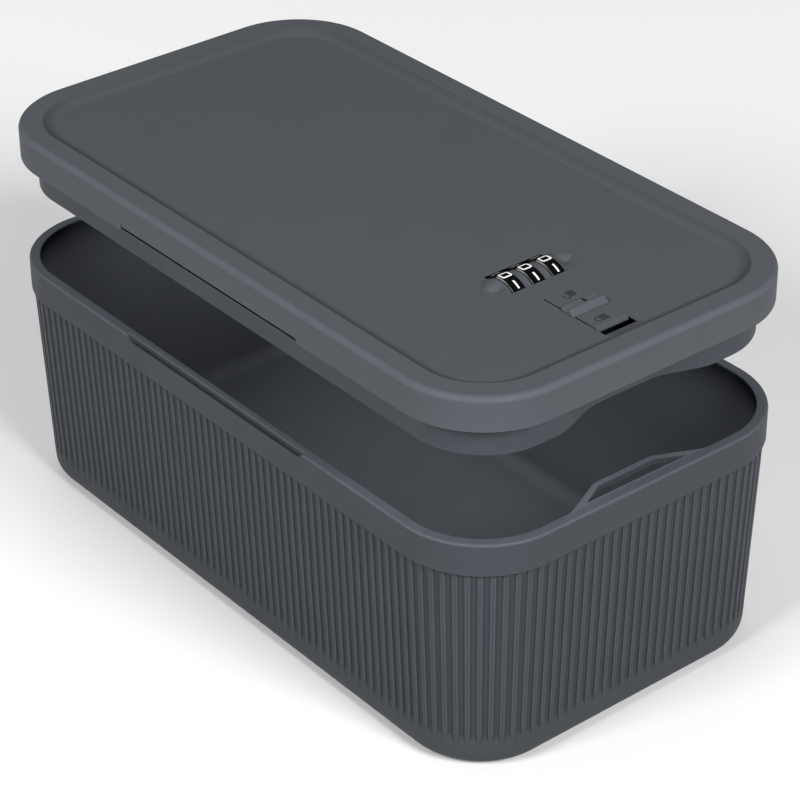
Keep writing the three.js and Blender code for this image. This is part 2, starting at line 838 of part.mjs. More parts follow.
// -------------------------------------------- cover under the lock, and reset
{
  const z0 = -11.6,
    rim = 0.0;
  let cover = box(-33, 33, -133.9, -62.8, rim - 2, rim);
  cover = cover.add(box(-22.6, 22.6, -133.9, -66, z0, rim));
  cover = cover.subtract(box(-21, 21, -132.1, -67.6, z0 + 1.5, rim + 1));
  cover = cover.subtract(box(-26.6, 26.6, -99, -67.6, -1.0, rim + 1));
  // Way out for the bolt.
  cover = cover.subtract(box(-7.5, 7.5, -135, -131, -10.0, rim + 1));
  for (const [x, y] of coverScrews)
    cover = cover.subtract(rodZ(1.5, -3, 1, x, y, 12));
  // Slot for the code-change button.
  cover = cover.subtract(box(-6.2, 6.2, -105.7, -102.3, z0 - 1, z0 + 3));
  place(lid, "lock_cover", cover, finish.liner);

  const button = box(-4, 1, -108, -100, -13.2, z0 - GAP)
    .add(box(-2.9, -0.1, -105.4, -102.6, z0 - 0.5, z0 + 2))
    .add(box(-5.8, 2.8, -107.5, -100.5, z0 + 1.5 + GAP, z0 + 2.9));
  place(lid, "code_change_button", button, finish.hub);
}

// ------------------------------------------------------------------- screws
function panScrew(name, x, y, z, long, headR = 2.6, shankR = 1.15) {
  // Head below z, shank up from it.
  const p = [
    [0, -1.5],
    [headR * 0.72, -1.5],
    [headR, -0.8],
    [headR, 0],
    [shankR, 0],
    [shankR, long - 0.7],
    [shankR * 0.4, long],
    [0, long],
  ].map(([r, h]) => new THREE.Vector2(r, h));
  place(
    lid,
    name,
    solid(
      new THREE.LatheGeometry(p, 12).rotateX(Math.PI / 2).translate(x, y, z),
    ),
    finish.steel,
  );
}
linerScrews.forEach(([x, y], i) =>
  panScrew("liner_screw_" + (i + 1), x, y, LINER_Z - GAP, 7.6),
);
coverScrews.forEach(([x, y], i) =>
  panScrew("cover_screw_" + (i + 1), x, y, -2.3, 7.6, 2.4, 1.0),
);
earScrews.forEach(([x, y], i) =>
  panScrew("housing_screw_" + (i + 1), x, y, 1.4, 6.6, 2.2, 1.1),
);
trackScrews.forEach(([x, y], i) =>
  panScrew("track_screw_" + (i + 1), x, y, FRAME_Z1 - 2.5, 4.0, 2.2, 1.1),
);

export default part;
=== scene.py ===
import math

import bmesh
import bpy
import numpy as np
from mathutils import Matrix, Vector


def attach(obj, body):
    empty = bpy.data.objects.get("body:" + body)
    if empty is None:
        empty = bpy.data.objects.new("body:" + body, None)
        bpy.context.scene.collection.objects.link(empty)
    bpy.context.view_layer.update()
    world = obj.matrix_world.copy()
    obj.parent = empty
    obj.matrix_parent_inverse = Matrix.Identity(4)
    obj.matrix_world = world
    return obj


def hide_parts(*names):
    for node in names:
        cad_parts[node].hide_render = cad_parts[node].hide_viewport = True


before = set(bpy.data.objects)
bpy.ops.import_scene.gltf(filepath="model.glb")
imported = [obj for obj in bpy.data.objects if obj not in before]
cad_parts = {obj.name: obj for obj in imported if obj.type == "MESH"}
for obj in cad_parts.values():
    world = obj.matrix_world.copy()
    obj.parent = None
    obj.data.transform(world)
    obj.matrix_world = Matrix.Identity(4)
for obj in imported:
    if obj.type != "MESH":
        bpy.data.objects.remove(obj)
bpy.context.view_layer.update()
scene = bpy.context.scene
MM = 0.001

# ------------------------------------------------------------- dimensions, mm
A, B, CORNER = 82.5, 150.0, 36.2
H, BAND_H, BAND_STEP, TAPER = 102.6, 13.2, 0.95, 3.45
LOW = H - BAND_H
BOTTOM_R, RIM_W, DRAFT, FLOOR_T = 8.0, 4.6, 3.0, 2.8
FLUTES_X, FLUTES_Y, FLUTES_C, FLUTE_D = 21, 52, 12, 0.9
Z0 = H + 46.0  # bottom edge of the lid's wall
LID_H, LID_EDGE, LID_WALL = 13.86, 2.2, 2.4
DISH_Z, DISH_IN, DISH_W, SKIN = 11.36, 9.7, 5.6, 2.3
LINER_IN, LINER_Z, LINER_T = 2.7, 0.3, 2.0
SKIRT_IN, SKIRT_T, SKIRT_D = 6.5, 2.0, 13.5
NOTCH_Y, NOTCH_A, NOTCH_B = -136.6, 14.0, 36.0
DIAL_Y, DIAL_R, DIAL_Z = -83.6, 11.5, DISH_Z + 2.4 - 11.5
DIAL_W, PITCH, CHEEK_X = 5.9, 9.5, 13.45
GRIP, SLIT_TOP, SLIT_LOW = 53.5, 1.9, 1.15


# ------------------------------------------------------------------ materials
def nodes_of(name):
    m = bpy.data.materials.new(name)
    m.use_nodes = True
    t = m.node_tree
    return m, t, t.nodes["Principled BSDF"]


def noise(t, scale, detail=4.0, rough=0.55, coords=None):
    n = t.nodes.new("ShaderNodeTexNoise")
    n.inputs["Scale"].default_value = scale
    n.inputs["Detail"].default_value = detail
    n.inputs["Roughness"].default_value = rough
    if coords is not None:
        t.links.new(coords, n.inputs["Vector"])
    return n.outputs["Fac"]


def ramp(t, fac, lo, hi, a=0.35, b=0.65):
    r = t.nodes.new("ShaderNodeMapRange")
    r.inputs["From Min"].default_value = a
    r.inputs["From Max"].default_value = b
    r.inputs["To Min"].default_value = lo
    r.inputs["To Max"].default_value = hi
    t.links.new(fac, r.inputs["Value"])
    return r.outputs["Result"]


def colours(t, fac, c0, c1, p0=0.3, p1=0.7):
    r = t.nodes.new("ShaderNodeValToRGB")
    r.color_ramp.elements[0].position = p0
    r.color_ramp.elements[1].position = p1
    r.color_ramp.elements[0].color = (*c0, 1)
    r.color_ramp.elements[1].color = (*c1, 1)
    t.links.new(fac, r.inputs["Fac"])
    return r.outputs["Color"]


def mixed(t, fac, a, b):
    m = t.nodes.new("ShaderNodeMix")
    m.data_type = "RGBA"
    t.links.new(fac, m.inputs[0])
    for v, i in ((a, 6), (b, 7)):
        if isinstance(v, tuple):
            m.inputs[i].default_value = (*v, 1)
        else:
            t.links.new(v, m.inputs[i])
    return m.outputs[2]


def maths(t, op, a, b):
    m = t.nodes.new("ShaderNodeMath")
    m.operation = op
    for v, i in ((a, 0), (b, 1)):
        if isinstance(v, (int, float)):
            m.inputs[i].default_value = v
        else:
            t.links.new(v, m.inputs[i])
    return m.outputs[0]


def coords(t):
    return t.nodes.new("ShaderNodeTexCoord").outputs["Object"]


def edge_mask(t, lo=0.52, hi=0.62):
    g = t.nodes.new("ShaderNodeNewGeometry")
    return ramp(t, g.outputs["Pointiness"], 0.0, 1.0, lo, hi)


def srgb(*c):
    return tuple(((v / 255 + 0.055) / 1.055) ** 2.4 for v in c)


def place_mask(t, c, inset0, inset1, z0, z1):
    """1 near the rounded outline (from inset0 to inset1 mm inside it) and above z0 to z1 mm."""
    sep = t.nodes.new("ShaderNodeSeparateXYZ")
    t.links.new(c, sep.inputs[0])
    ax, by = (A - CORNER) * MM, (B - CORNER) * MM
    qx = maths(t, "MAXIMUM", maths(t, "SUBTRACT", maths(t, "ABSOLUTE", sep.outputs[0], 0.0), ax), 0.0)
    qy = maths(t, "MAXIMUM", maths(t, "SUBTRACT", maths(t, "ABSOLUTE", sep.outputs[1], 0.0), by), 0.0)
    d = maths(t, "SQRT", maths(t, "ADD", maths(t, "MULTIPLY", qx, qx), maths(t, "MULTIPLY", qy, qy)), 0.0)
    near = ramp(t, maths(t, "DIVIDE", d, CORNER * MM), 0.0, 1.0, (CORNER - inset0) / CORNER, (CORNER - inset1) / CORNER)
    high = ramp(t, maths(t, "DIVIDE", sep.outputs[2], 0.2), 0.0, 1.0, z0 * MM / 0.2, z1 * MM / 0.2)
    return maths(t, "MULTIPLY", near, high)


def plastic(name, base, rough=0.5, grain=0.5, edge=0.25, spec=0.4, fine=2600.0, painted_edge_light=None, gain=1.3, rim_light_and_crease_shade=None):
    """Moulded plastic with a fine spark-eroded texture, slight mottling, convex edges lighter from wear and a painted
    highlight, and optional painted light and shade by place.
    """
    m, t, p = nodes_of(name)
    c = coords(t)
    mottle = noise(t, 38.0, 5.0, 0.6, c)
    speck = noise(t, 900.0, 3.0, 0.5, c)
    tone = colours(t, mottle, tuple(v * 0.985 for v in base), tuple(v * 1.015 for v in base))
    tone2 = mixed(t, ramp(t, speck, 0.0, 0.1), tone, tuple(min(1, v * 1.35) for v in base))
    # Convex edges are painted lighter: partly wear, partly a painted highlight.
    wear_and_highlight = maths(t, "MULTIPLY", edge_mask(t), ramp(t, noise(t, 160.0, 4.0, 0.6, c), edge * 0.8, edge))
    worn_and_lit = mixed(t, wear_and_highlight, tone2, tuple(min(1, v * 1.9 + 0.01) for v in base))
    if painted_edge_light:
        # Painted light: a band along the outer edge (the lid's rounding, the tub's rim top) is painted lighter.
        f = maths(t, "MULTIPLY", place_mask(t, c, *painted_edge_light), ramp(t, noise(t, 120.0, 4.0, 0.6, c), 0.85, 1.0))
        worn_and_lit = mixed(t, f, worn_and_lit, tuple(min(1, v * gain) for v in base))
    if rim_light_and_crease_shade:
        # Painted light and shade: the raised rim's top is painted lighter, and painted shade darkens the crease inside
        # it.
        f = maths(t, "MULTIPLY", place_mask(t, c, *rim_light_and_crease_shade[0]), 0.5)
        worn_and_lit = mixed(t, f, worn_and_lit, tuple(min(1, v * 1.16) for v in base))
        f = maths(t, "MULTIPLY", place_mask(t, c, *rim_light_and_crease_shade[1]), 0.5)
        inner = maths(t, "SUBTRACT", 1.0, place_mask(t, c, *rim_light_and_crease_shade[2]))
        worn_and_lit = mixed(t, maths(t, "MULTIPLY", f, inner), worn_and_lit, tuple(v * 0.68 for v in base))
    t.links.new(worn_and_lit, p.inputs["Base Color"])
    r = maths(
        t,
        "ADD",
        ramp(t, noise(t, 55.0, 4.0, 0.6, c), rough - 0.05, rough + 0.05),
        ramp(t, speck, -0.03, 0.03),
    )
    t.links.new(r, p.inputs["Roughness"])
    p.inputs["Specular IOR Level"].default_value = spec
    if grain:
        b = t.nodes.new("ShaderNodeBump")
        b.inputs["Strength"].default_value = grain
        b.inputs["Distance"].default_value = 0.00004
        t.links.new(noise(t, fine, 2.0, 0.5, c), b.inputs["Height"])
        b2 = t.nodes.new("ShaderNodeBump")
        b2.inputs["Strength"].default_value = 0.1
        b2.inputs["Distance"].default_value = 0.0001
        t.links.new(noise(t, 60.0, 2.0, 0.4, c), b2.inputs["Height"])
        t.links.new(b2.outputs["Normal"], b.inputs["Normal"])
        t.links.new(b.outputs["Normal"], p.inputs["Normal"])
    return m


def metal(name, base, rough=0.3):
    m, t, p = nodes_of(name)
    c = coords(t)
    p.inputs["Metallic"].default_value = 1.0
    t.links.new(
        colours(t, noise(t, 240.0, 5.0, 0.6, c), tuple(v * 0.82 for v in base), base),
        p.inputs["Base Color"],
    )
    t.links.new(
        ramp(t, noise(t, 700.0, 4.0, 0.6, c), rough - 0.08, rough + 0.12),
        p.inputs["Roughness"],
    )
    b = t.nodes.new("ShaderNodeBump")
    b.inputs["Strength"].default_value = 0.3
    b.inputs["Distance"].default_value = 0.00003
    t.links.new(noise(t, 2200.0, 2.0, 0.5, c), b.inputs["Height"])
    t.links.new(b.outputs["Normal"], p.inputs["Normal"])
    return m


SLATE_LID = srgb(69, 71.5, 76)
SLATE_TUB = srgb(58, 60.5, 65)
# Painted shade: the liner and lock cover are painted darker than the lid, for the lid's shade on the skirt.
SLATE_IN_SHADED = srgb(57, 60, 65)
# The lid's outer rounded edge and raised rim top are painted lighter, and the crease inside the rim darker: painted
# light and shade.
mat_lid = plastic("lid_slate", SLATE_LID, 0.52, 0.5, 0.25, 0.06, painted_edge_light=(2.0, 1.5, Z0 + LID_H - 2.3, Z0 + LID_H - 1.6), gain=1.3, rim_light_and_crease_shade=(
    (9.9, 9.3, Z0 + LID_H - 0.6, Z0 + LID_H - 0.2),
    (14.0, 10.5, Z0 + DISH_Z - 1.0, Z0 + DISH_Z - 0.5),
    (9.9, 9.6, Z0 + DISH_Z - 1.0, Z0 + DISH_Z - 0.5),
))
# The tub's rim top is painted lighter: painted light.
mat_tub = plastic("tub_slate", SLATE_TUB, 0.5, 0.5, 0.25, 0.06, painted_edge_light=(4.4, 4.0, H - 1.0, H - 0.35), gain=1.9)
mat_liner = plastic("liner_slate", SLATE_IN_SHADED, 0.52, 0.5, 0.25, 0.08)
mat_lock = plastic("lock_slate", SLATE_LID, 0.45, 0.4, 0.25, 0.08)
mat_track = plastic("track_slate", SLATE_LID, 0.45, 0.4, 0.0, 0.08)
# Painted shade for the flutes and the strip under the band.
mat_flute_shade = plastic("flute_painted_shade", tuple(v * 0.86 for v in SLATE_TUB), 0.55, 0.5, 0.0, 0.04)
# Painted highlight for the ribs' sloped edge faces.
mat_rib_highlight = plastic("rib_edge_painted_highlight", tuple(v * 1.34 for v in SLATE_TUB), 0.48, 0.5, 0.25, 0.06)
# Painted light for the keeper lip's top.
mat_lip_light = plastic("lip_painted_light", tuple(v * 2.2 for v in SLATE_TUB), 0.45, 0.5, 0.25, 0.08)
# Painted light and shade in the thumb recess: along its middle it is painted lighter, towards its rear and front edges
# darker, fading out near the tips.
mat_recess_light_shade = plastic("recess_painted_light_and_shade", SLATE_LID, 0.45, 0.4, 0.0, 0.1)
_t = mat_recess_light_shade.node_tree
_p = _t.nodes["Principled BSDF"]
_worn_and_lit = _p.inputs["Base Color"].links[0].from_socket
_sep = _t.nodes.new("ShaderNodeSeparateXYZ")
_t.links.new(coords(_t), _sep.inputs[0])
_y = maths(_t, "ABSOLUTE", maths(_t, "SUBTRACT", _sep.outputs[1], (DIAL_Y - 0.4) * MM), 0.0)
_f = ramp(_t, maths(_t, "DIVIDE", _y, 0.01), 1.0, 0.0, 0.08, 0.42)
_x = ramp(_t, maths(_t, "DIVIDE", maths(_t, "ABSOLUTE", _sep.outputs[0], 0.0), 0.03), 1.0, 0.0, 18.0 / 30, 22.0 / 30)
_painted_shade = mixed(_t, _x, tuple(SLATE_LID), tuple(v * 0.78 for v in SLATE_LID))
_painted_light = mixed(_t, _x, _worn_and_lit, tuple(v * 1.3 for v in SLATE_LID))
_t.links.new(mixed(_t, _f, _painted_shade, _painted_light), _p.inputs["Base Color"])
# Painted shade: the latch bolt is near-black, standing for the dark inside the skirt's slot.
mat_bolt_shade_black = plastic("bolt_painted_shade_black", (0.006, 0.006, 0.0066), 0.5, 0.3, 0.05, 0.1)
mat_slider = plastic("slider_slate", srgb(76, 79, 84), 0.42, 0.4, 0.25, 0.12)
mat_mark = plastic("mark_dark", srgb(42, 44, 48), 0.5, 0.3, 0.1, 0.15)
mat_dial = plastic("dial_black", (0.0015, 0.0015, 0.0018), 0.5, 0.1, 0.05, 0.06, 1500.0)
mat_dial_edge_highlight = plastic("dial_edge_painted_highlight", (0.17, 0.17, 0.175), 0.32, 0.1, 0.2, 0.5, 1500.0)
# Painted highlight on the wheels' left rounding, only near the wheel's top; black elsewhere.
_t = mat_dial_edge_highlight.node_tree
_p = _t.nodes["Principled BSDF"]
_link = _p.inputs["Base Color"].links[0]
_worn_and_lit = _link.from_socket
_sep = _t.nodes.new("ShaderNodeSeparateXYZ")
_t.links.new(coords(_t), _sep.inputs[0])
_y = maths(_t, "DIVIDE", maths(_t, "SUBTRACT", _sep.outputs[1], (DIAL_Y - 10.0) * MM), 0.02)
_f = maths(
    _t,
    "MULTIPLY",
    ramp(_t, _y, 0.0, 1.0, 5.2 / 20, 8.6 / 20),
    ramp(_t, _y, 1.0, 0.0, 11.9 / 20, 12.5 / 20),
)
_t.links.new(mixed(_t, _f, (0.0015, 0.0015, 0.0018), _worn_and_lit), _p.inputs["Base Color"])
# Black for painted shade in gaps and slits; the slider's arrow is printed in it too.
mat_shade_and_print_black = plastic("deep_shadow_black", (0.003, 0.003, 0.0034), 0.75, 0.2, 0.03, 0.03)
mat_digit = plastic("digit_white", (0.86, 0.86, 0.85), 0.4, 0.2, 0.1, 0.4)
mat_hub = plastic("sleeve_pale", srgb(186, 187, 182), 0.45, 0.3)
mat_steel = metal("zinc_steel", (0.52, 0.53, 0.55), 0.3)
mat_spring = metal("spring_steel", (0.42, 0.42, 0.43), 0.26)


# -------------------------------------------------------------- mesh building
def finish_mesh(me, angle=35.0):
    me.validate()
    me.shade_smooth()
    me.set_sharp_from_angle(angle=math.radians(angle))
    return me


def make(name, verts, faces, mat, z=0.0):
    me = bpy.data.meshes.new(name)
    v = np.asarray(verts, float).reshape(-1, 3) * MM
    v[:, 2] += z * MM
    me.from_pydata(v.tolist(), [], faces)
    me.update()
    ob = bpy.data.objects.new(name, me)
    scene.collection.objects.link(ob)
    if mat is not None:
        me.materials.append(mat)
    return ob


def settle(ob):
    """The object's modifiers become its mesh."""
    deps = bpy.context.evaluated_depsgraph_get()
    deps.update()
    me = bpy.data.meshes.new_from_object(ob.evaluated_get(deps))
    me.name = ob.name
    ob.modifiers.clear()
    ob.data = me
    return ob


def boolean(ob, cutter, op="DIFFERENCE", solver="MANIFOLD"):
    m = ob.modifiers.new("cut", "BOOLEAN")
    m.operation = op
    m.solver = solver
    m.object = cutter
    settle(ob)
    bpy.data.objects.remove(cutter)
    return ob


def loft(rows):
    """Rings of equal length, counter-clockwise from above, closed by a face at each end."""
    rows = np.asarray(rows, float)
    R, C = rows.shape[:2]
    i = np.arange(R * C).reshape(R, C)
    a, d = i[:-1], i[1:]
    b, c = np.roll(a, -1, 1), np.roll(d, -1, 1)
    quads = np.stack([a, b, c, d], -1).reshape(-1, 4).tolist()
    return rows.reshape(-1, 3), quads + [i[0][::-1].tolist(), i[-1].tolist()]


def weighted(ob):
    w = ob.modifiers.new("normals", "WEIGHTED_NORMAL")
    w.keep_sharp = True
    w.weight = 100


def dress(ob, body, *nodes, angle=35.0, slot=None):
    finish_mesh(ob.data, angle)
    weighted(ob)
    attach(ob, body)
    for n in nodes:
        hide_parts(n)
    return ob


def column_path(marks_x, marks_y, corner_steps):
    """Columns round the outline: base points on the rim band, outward normals, and
    for the long sides the place along them (nan elsewhere). Inset k is base - k * normal."""
    ax, by = A - CORNER, B - CORNER
    out = []

    def arc(sx, sy, k):
        for f in corner_steps:
            th = (k + f) * math.pi / 2
            c, s = math.cos(th), math.sin(th)
            out.append((sx * ax + CORNER * c, sy * by + CORNER * s, c, s, np.nan, np.nan))

    arc(1, 1, 0)
    for x in sorted(marks_x, reverse=True):
        out.append((x, B, 0.0, 1.0, np.nan, x))
    arc(-1, 1, 1)
    for y in sorted(marks_y, reverse=True):
        out.append((-A, y, -1.0, 0.0, y, np.nan))
    arc(-1, -1, 2)
    for x in sorted(marks_x):
        out.append((x, -B, 0.0, -1.0, np.nan, x))
    arc(1, -1, 3)
    for y in sorted(marks_y):
        out.append((A, y, 1.0, 0.0, y, np.nan))
    return np.array(out)


def ring(cols, inset, z):
    k = np.broadcast_to(np.asarray(inset, float), (len(cols),))
    zz = np.broadcast_to(np.asarray(z, float), (len(cols),))
    return np.stack([cols[:, 0] - cols[:, 2] * k, cols[:, 1] - cols[:, 3] * k, zz], -1)


def smooth(x, a, b):
    t = np.clip((np.asarray(x, float) - a) / (b - a), 0, 1)
    return t * t * (3 - 2 * t)


def even(lo, hi, step, extra=()):
    n = max(1, int(round((hi - lo) / step)))
    v = [lo + (hi - lo) * i / n for i in range(1, n)] + [e for e in extra if lo < e < hi]
    v = sorted(v)
    keep = []
    for e in v:
        if not keep or e - keep[-1] > 0.05:
            keep.append(e)
    return keep


def prism(points, z0, z1, name="cutter", mat=None, bevel=0.0, segments=3, zadd=0.0):
    """An outline in plan, counter-clockwise, raised from z0 to z1, with rounded edges."""
    n = len(points)
    v = [(x, y, z0) for x, y in points] + [(x, y, z1) for x, y in points]
    f = [[i, (i + 1) % n, n + (i + 1) % n, n + i] for i in range(n)]
    f += [list(range(n))[::-1], list(range(n, 2 * n))]
    ob = make(name, v, f, mat, zadd)
    if bevel:
        b = ob.modifiers.new("round", "BEVEL")
        b.width = bevel * MM
        b.segments = segments
        b.limit_method = "ANGLE"
        b.angle_limit = math.radians(50)
        settle(ob)
    return ob


def rounded(points, radius, steps=5):
    """Corners of an outline replaced by arcs-like curves; radius may be one number or one for each corner."""
    out = []
    n = len(points)
    rr = radius if isinstance(radius, (list, tuple)) else [radius] * n
    for i in range(n):
        p0, p, p1 = (Vector(points[(i + k) % n]) for k in (-1, 0, 1))
        r = rr[i]
        if r <= 0:
            out.append(tuple(p))
            continue
        a, b = (p0 - p), (p1 - p)
        r0, r1 = min(r, a.length * 0.49), min(r, b.length * 0.49)
        a, b = p + a.normalized() * r0, p + b.normalized() * r1
        for k in range(steps + 1):
            t = k / steps
            q = a * (1 - t) ** 2 + p * (2 * t * (1 - t)) + b * t * t
            out.append(tuple(q))
    return out


def block(x0, x1, y0, y1, z0, z1, r=0.0, name="cutter", mat=None, bevel=0.0, zadd=0.0):
    pts = [(x0, y0), (x1, y0), (x1, y1), (x0, y1)]
    if r:
        pts = rounded(pts, r)
    return prism(pts, z0, z1, name, mat, bevel, 2, zadd)


# --------------------------------------------------------------------- the tub
def build_tub():
    ax, by = A - CORNER, B - CORNER
    shoulder = (0.98, 1.12, 1.26, 1.42, 1.66)

    def cells(half_len, count):
        """Places along a straight side, with the flute's depth at each."""
        p = 2 * half_len / count
        out = {}
        for i in range(count + 1):
            c = -half_len + p * i
            for u in (0.0, *shoulder, p / 2):
                for s in (-1, 1):
                    q = round(c + s * u, 4)
                    if -half_len < q < half_len:
                        out[q] = u
        return out

    cx, cy = cells(ax, FLUTES_X), cells(by, FLUTES_Y)
    rb = CORNER - 1.6
    steps = {}
    for i in range(FLUTES_C + 1):
        for u in (0.0, *shoulder):
            for s in (-1, 1):
                f = i / FLUTES_C + s * u / (rb * math.pi / 2)
                if -1e-9 <= f <= 1 + 1e-9:
                    steps[round(min(max(f, 0), 1), 6)] = u
        if i < FLUTES_C:
            steps[round((i + 0.5) / FLUTES_C, 6)] = 2.2
    sf = sorted(steps)
    cols = column_path(list(cx), list(cy), sf)
    u = []
    for c in cols:
        if not np.isnan(c[4]):
            u.append(cy[round(c[4], 4)])
        elif not np.isnan(c[5]):
            u.append(cx[round(c[5], 4)])
        else:
            u.append(None)
    k = 0
    for i, v in enumerate(u):
        if v is None:
            u[i] = steps[sf[k % len(sf)]]
            k += 1
    u = np.array(u, float)
    depth = 0.72 * FLUTE_D * (1 - smooth(u, 0.95, 1.42))

    at = lambda z: BAND_STEP + TAPER * (1 - z / LOW)
    rows = []
    for i in range(9):
        t = i / 8 * math.pi / 2
        z = BOTTOM_R * (1 - math.cos(t))
        rows.append(ring(cols, at(z) + BOTTOM_R * (1 - math.sin(t)), z))
    for z in (9.5, 10.5, 11.4, 12.3, 13.2, 14.1, 15.0, 16.2):
        rows.append(ring(cols, at(z) + depth * smooth(z, 10.3, 15.2), z))
    for z in (26, 38, 50, 62, 74, 84, LOW - 1.5, LOW - 0.9, LOW - 0.25):
        rows.append(ring(cols, at(z) + depth, z))
    rows.append(ring(cols, np.maximum(at(LOW) + depth - 0.1, 0.5), LOW))
    rows += [ring(cols, 0.34, LOW), ring(cols, 0.1, LOW + 0.09), ring(cols, 0.0, LOW + 0.36)]

    # Finger grips on the long sides: the outer part of the rim drops.
    y = np.abs(np.nan_to_num(cols[:, 4], nan=999.0))
    e = 2.3
    drop = np.interp(
        y,
        [GRIP - 1.4, GRIP - 0.6, GRIP + 0.2, GRIP + 1.0, GRIP + 1.9, GRIP + 2.7, GRIP + 3.2],
        [e, e * 0.97, e * 0.84, e * 0.5, e * 0.2, e * 0.05, 0.0],
    )
    gr = 1 - smooth(y, GRIP - 1.3, GRIP - 0.5)
    top = H - drop
    f = drop / e
    rows.append(ring(cols, 0.0, LOW + 5))
    rad = 1.0 - 0.72 * f  # the lip in front of the groove is thin
    for i in range(7):
        t = i / 6 * math.pi / 2
        rows.append(ring(cols, rad * (1 - math.cos(t)), top - rad * (1 - math.sin(t))))
    groove = top - 1.4 * gr
    between = lambda p, q: p + (q - p) * f
    rows.append(ring(cols, between(1.04, 0.62), top))
    rows.append(ring(cols, between(1.08, 0.74), top - 0.1 * gr))
    rows.append(ring(cols, between(1.12, 0.8), groove))
    rows.append(ring(cols, between(1.6, 1.66), groove))
    rows.append(ring(cols, 1.7, H - 0.3 * f))
    rows.append(ring(cols, 1.8, H - 0.08 * f))
    rows.append(ring(cols, 2.1, H))
    in_at = lambda z: RIM_W + DRAFT * (H - z) / H
    for i in range(5):
        t = i / 4 * math.pi / 2
        rows.append(ring(cols, RIM_W - 0.55 * (1 - math.sin(t)), H - 0.55 * (1 - math.cos(t))))
    for z in (92, 70, 45, 20):
        rows.append(ring(cols, in_at(z), z))
    for i in range(8):
        t = math.pi / 2 * (1 - i / 7)
        z = FLOOR_T + 6 * (1 - math.cos(t))
        rows.append(ring(cols, in_at(z) + 6 * (1 - math.sin(t)), z))
    v, f_ = loft(rows)
    ob = make("tub_body", v, f_, mat_tub)
    # The ribs' edges are painted as thin lighter lines, a painted highlight; painted shade darkens the flutes and the
    # strip under the band's step.
    ob.data.materials.append(mat_rib_highlight)
    ob.data.materials.append(mat_flute_shade)
    count = len(cols)
    for p in ob.data.polygons:
        j, i = divmod(p.index, count)
        if j < 25:
            ends = (u[i], u[(i + 1) % count])
            z = p.center.z / MM
            if z > LOW - 1.5 or (max(ends) < 1.3 and z > 15):
                p.material_index = 2
            elif min(ends) > 1.2 and max(ends) < 1.7 and z > 16:
                p.material_index = 1

    # The keeper lip, and the slot through it.
    lip = rounded(
        [(-37.0, -147.0), (-37.0, -145.97), (-32.4, -145.9), (-14.0, -137.1),
         (14.0, -137.1), (32.4, -145.9), (37.0, -145.97), (37.0, -147.0)][::-1],
        [0, 0, 4.0, 2.2, 2.2, 4.0, 0, 0],
    )
    boolean(ob, prism(lip[::-1] if area(lip) < 0 else lip, H - 2.2, H, bevel=0.0), "UNION", "EXACT")
    slot = rounded([(-24.3, -144.9), (24.3, -144.9), (13.8, -139.5), (-13.8, -139.5)], [0.8, 0.8, 1.6, 1.6])
    boolean(ob, prism(slot, H - 6, H + 1))
    boolean(ob, block(-32, 32, B - RIM_W - 2, B - RIM_W + 2.4, H - 5.9, H - 4.3, 0.6))
    boolean(ob, block(-21, 21, B - RIM_W - 2, B - RIM_W + 2.4, H - 10.6, H - 8.4, 0.6))
    ob.data.materials.append(mat_lip_light)
    # Painted light: the keeper lip's top faces are painted lighter.
    for p in ob.data.polygons:
        c = p.center / MM
        if abs(c.x) < 33 and -146.0 < c.y < -136 and c.z > H - 0.6 and p.normal.z > 0.6:
            p.material_index = len(ob.data.materials) - 1
    return dress(ob, "tub", "base_tub", angle=38)


def area(pts):
    return 0.5 * sum(
        pts[i][0] * pts[(i + 1) % len(pts)][1] - pts[(i + 1) % len(pts)][0] * pts[i][1]
        for i in range(len(pts))
    )


